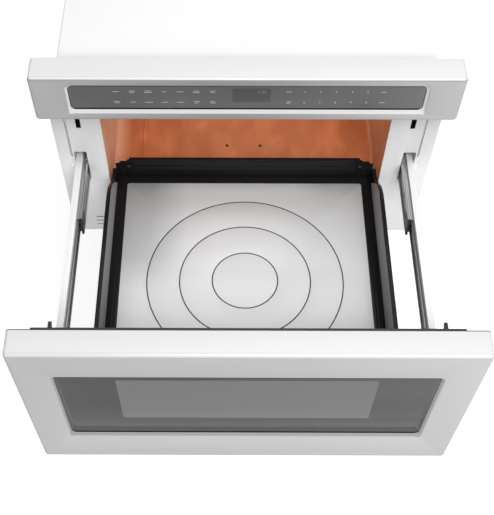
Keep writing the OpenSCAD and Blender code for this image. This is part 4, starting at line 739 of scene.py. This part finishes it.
def add_screw(shape, dark, seat, direction, head_r, head_h, shank_r, shank_l):
    """A turned shank and a domed head whose recess has four arms and sloping walls."""
    screw = bmesh.new()
    profile = ((0.55 * shank_r, -shank_l), (shank_r, -shank_l + 0.5 * shank_r), (shank_r, 0.0),
               (0.97 * head_r, 0.0), (head_r, 0.06 * head_h), (head_r, 0.3 * head_h),
               (0.93 * head_r, 0.62 * head_h), (0.78 * head_r, 0.86 * head_h),
               (0.62 * head_r, 0.97 * head_h), (0.56 * head_r, head_h))
    outline = [screw.verts.new((radius, 0.0, z)) for radius, z in profile]
    lines = [screw.edges.new(ends) for ends in zip(outline, outline[1:])]
    bmesh.ops.spin(screw, geom=outline + lines, cent=(0, 0, 0), axis=(0, 0, 1), dvec=(0, 0, 0),
                   angle=2 * math.pi, steps=24, use_merge=True)
    tip = [e for e in screw.edges if e.is_boundary and e.verts[0].co.z < 0.0]
    bmesh.ops.edgeloop_fill(screw, edges=tip)

    arm, half = 0.48 * head_r, 0.1 * head_r
    at_top = Matrix.Translation((0, 0, head_h))
    square = bmesh.ops.create_grid(screw, x_segments=1, y_segments=1, size=half, matrix=at_top)["verts"]
    recess = square[0].link_faces[:]
    for side in recess[0].edges[:]:
        out = (side.verts[0].co + side.verts[1].co) / 2 - at_top.translation
        drawn = bmesh.ops.extrude_edge_only(screw, edges=[side])["geom"]
        ends = [part for part in drawn if isinstance(part, bmesh.types.BMVert)]
        recess += [part for part in drawn if isinstance(part, bmesh.types.BMFace)]
        bmesh.ops.translate(screw, verts=ends, vec=out.normalized() * (arm - half))
    sunk = bmesh.ops.extrude_face_region(screw, geom=recess, use_keep_orig=True)["geom"]
    bmesh.ops.delete(screw, geom=recess, context="FACES")
    floor_verts = [part for part in sunk if isinstance(part, bmesh.types.BMVert)]
    bmesh.ops.scale(screw, verts=floor_verts, vec=(0.72, 0.72, 1.0))
    bmesh.ops.translate(screw, verts=floor_verts, vec=(0, 0, -0.65 * head_h))

    rim_and_lip = [e for e in screw.edges if e.is_boundary]
    bmesh.ops.triangle_fill(screw, use_beauty=True, use_dissolve=False, edges=rim_and_lip)
    bmesh.ops.recalc_face_normals(screw, faces=screw.faces)
    for face in screw.faces:
        face.material_index = int(dark)
    turn = direction.to_track_quat("Z", "Y").to_matrix().to_4x4()
    screw.transform(Matrix.Translation(seat) @ turn)
    mesh = bpy.data.meshes.new("screw")
    screw.to_mesh(mesh)
    screw.free()
    shape.from_mesh(mesh)
    bpy.data.meshes.remove(mesh)


for node in ("chassis_screws", "pan_screws"):
    screws = bmesh.new()
    for place in screw_places(node):
        add_screw(screws, node == "pan_screws" or place[1].z > 0.5, *place)
    formed = add_piece(node + "_formed", screws, bright_zinc, node_body[node])
    formed.data.materials.append(dark_steel)
    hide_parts(node)

# Stage: a pale floor well below the oven, which hangs in its cabinet, with a white surround.
# Four soft lamps stand above, in front, right and left, and a small warm one gives the light
# of the oven lamp inside the cavity.

floor_z = -0.43
floor_mesh = bpy.data.meshes.new("floor")
sheet = bmesh.new()
bmesh.ops.create_grid(sheet, x_segments=1, y_segments=1, size=6.0)
bmesh.ops.translate(sheet, verts=sheet.verts, vec=(0, 0, floor_z))
sheet.to_mesh(floor_mesh)
sheet.free()
floor = bpy.data.objects.new("floor", floor_mesh)
bpy.context.scene.collection.objects.link(floor)


def seen_rays(tree, *kinds):
    """One for the kinds of ray that show the background as white."""
    ray = tree.nodes.new("ShaderNodeLightPath")
    total = ray.outputs[kinds[0]]
    for kind in kinds[1:]:
        total = combined(tree, "MAXIMUM", total, ray.outputs[kind])
    return total


floor_finish = new_finish("floor_finish", (0.72, 0.72, 0.72), roughness=0.8)
tree = floor_finish.node_tree
glow = tree.nodes.new("ShaderNodeEmission")
glow.inputs["Color"].default_value = (1, 1, 1, 1)
lift = combined(tree, "MULTIPLY", seen_rays(tree, "Is Camera Ray"), 0.62)
tree.links.new(lift, glow.inputs["Strength"])
lit_floor = tree.nodes.new("ShaderNodeAddShader")
tree.links.new(tree.nodes["Principled BSDF"].outputs["BSDF"], lit_floor.inputs[0])
tree.links.new(glow.outputs["Emission"], lit_floor.inputs[1])
tree.links.new(lit_floor.outputs["Shader"], tree.nodes["Material Output"].inputs["Surface"])
floor_mesh.materials.append(floor_finish)

world = bpy.data.worlds.new("studio")
bpy.context.scene.world = world
world.use_nodes = True
tree = world.node_tree
tree.nodes.clear()
out = tree.nodes.new("ShaderNodeOutputWorld")
white = tree.nodes.new("ShaderNodeBackground")
white.inputs["Strength"].default_value = 1.0
white.inputs["Color"].default_value = (1, 1, 1, 1)
soft = tree.nodes.new("ShaderNodeBackground")
soft.inputs["Color"].default_value = (1, 1, 1, 1)
soft.inputs["Strength"].default_value = 0.38
mix = tree.nodes.new("ShaderNodeMixShader")
tree.links.new(seen_rays(tree, "Is Camera Ray", "Is Glossy Ray", "Is Transmission Ray"), mix.inputs["Fac"])
tree.links.new(soft.outputs["Background"], mix.inputs[1])
tree.links.new(white.outputs["Background"], mix.inputs[2])
tree.links.new(mix.outputs["Shader"], out.inputs["Surface"])

for name, spot, aim, size, power, colour in (
    ("top_lamp", (0.3, 0.1, 2.4), (0.0, -0.1, 0.2), 2.2, 9.0, (1.0, 1.0, 1.0)),
    ("front_lamp", (0.45, -1.6, 2.1), (0.0, -0.1, 0.2), 1.2, 40.0, (1.0, 1.0, 1.0)),
    ("right_lamp", (1.3, -1.7, 1.25), (0.1, -0.1, 0.15), 1.0, 11.0, (1.0, 1.0, 1.0)),
    ("left_lamp", (-1.3, -1.7, 1.25), (-0.1, -0.1, 0.15), 1.0, 3.0, (1.0, 1.0, 1.0)),
    ("oven_light", (0.015, 0.155, 0.3), (0.015, 0.125, 0.0), 0.29, 0.85, (1.0, 0.96, 0.9)),
):
    lamp_data = bpy.data.lights.new(name, "AREA")
    lamp_data.size = size
    lamp_data.energy = power
    lamp_data.color = colour
    lamp = bpy.data.objects.new(name, lamp_data)
    bpy.context.scene.collection.objects.link(lamp)
    lamp.location = spot
    lamp.visible_glossy = lamp.visible_camera = name != "oven_light"
    lamp.rotation_euler = (Vector(aim) - Vector(spot)).to_track_quat("-Z", "Y").to_euler()

# Camera: where the photograph's stood, above the drawer and looking down, by a fit on the edges
# of the two fronts, their glasses and the plate. The picture's middle is off the lens's axis.

photo_w, photo_h = 494, 515
focal_px = 913.1
axis_px = (227.04, 289.98)
camera_place = (-0.0229, -0.9462, 1.3001)
pitch, yaw, roll = math.radians(57.87), math.radians(-0.34), math.radians(-0.12)

camera_data = bpy.data.cameras.new("camera")
camera = bpy.data.objects.new("camera", camera_data)
bpy.context.scene.collection.objects.link(camera)
bpy.context.scene.camera = camera
camera_data.lens = focal_px / photo_h * camera_data.sensor_width
camera_data.shift_x = (photo_w / 2 - axis_px[0]) / photo_h
camera_data.shift_y = (axis_px[1] - photo_h / 2) / photo_h
forward = Vector((math.sin(yaw) * math.cos(pitch), math.cos(yaw) * math.cos(pitch), -math.sin(pitch)))
level = Vector((math.cos(yaw), -math.sin(yaw), 0.0))
upward = level.cross(forward)
right = math.cos(roll) * level + math.sin(roll) * upward
top = -math.sin(roll) * level + math.cos(roll) * upward
turn = Matrix((right, top, -forward)).transposed().to_4x4()
camera.matrix_world = Matrix.Translation(camera_place) @ turn
bpy.context.scene.view_settings.view_transform = "Standard"
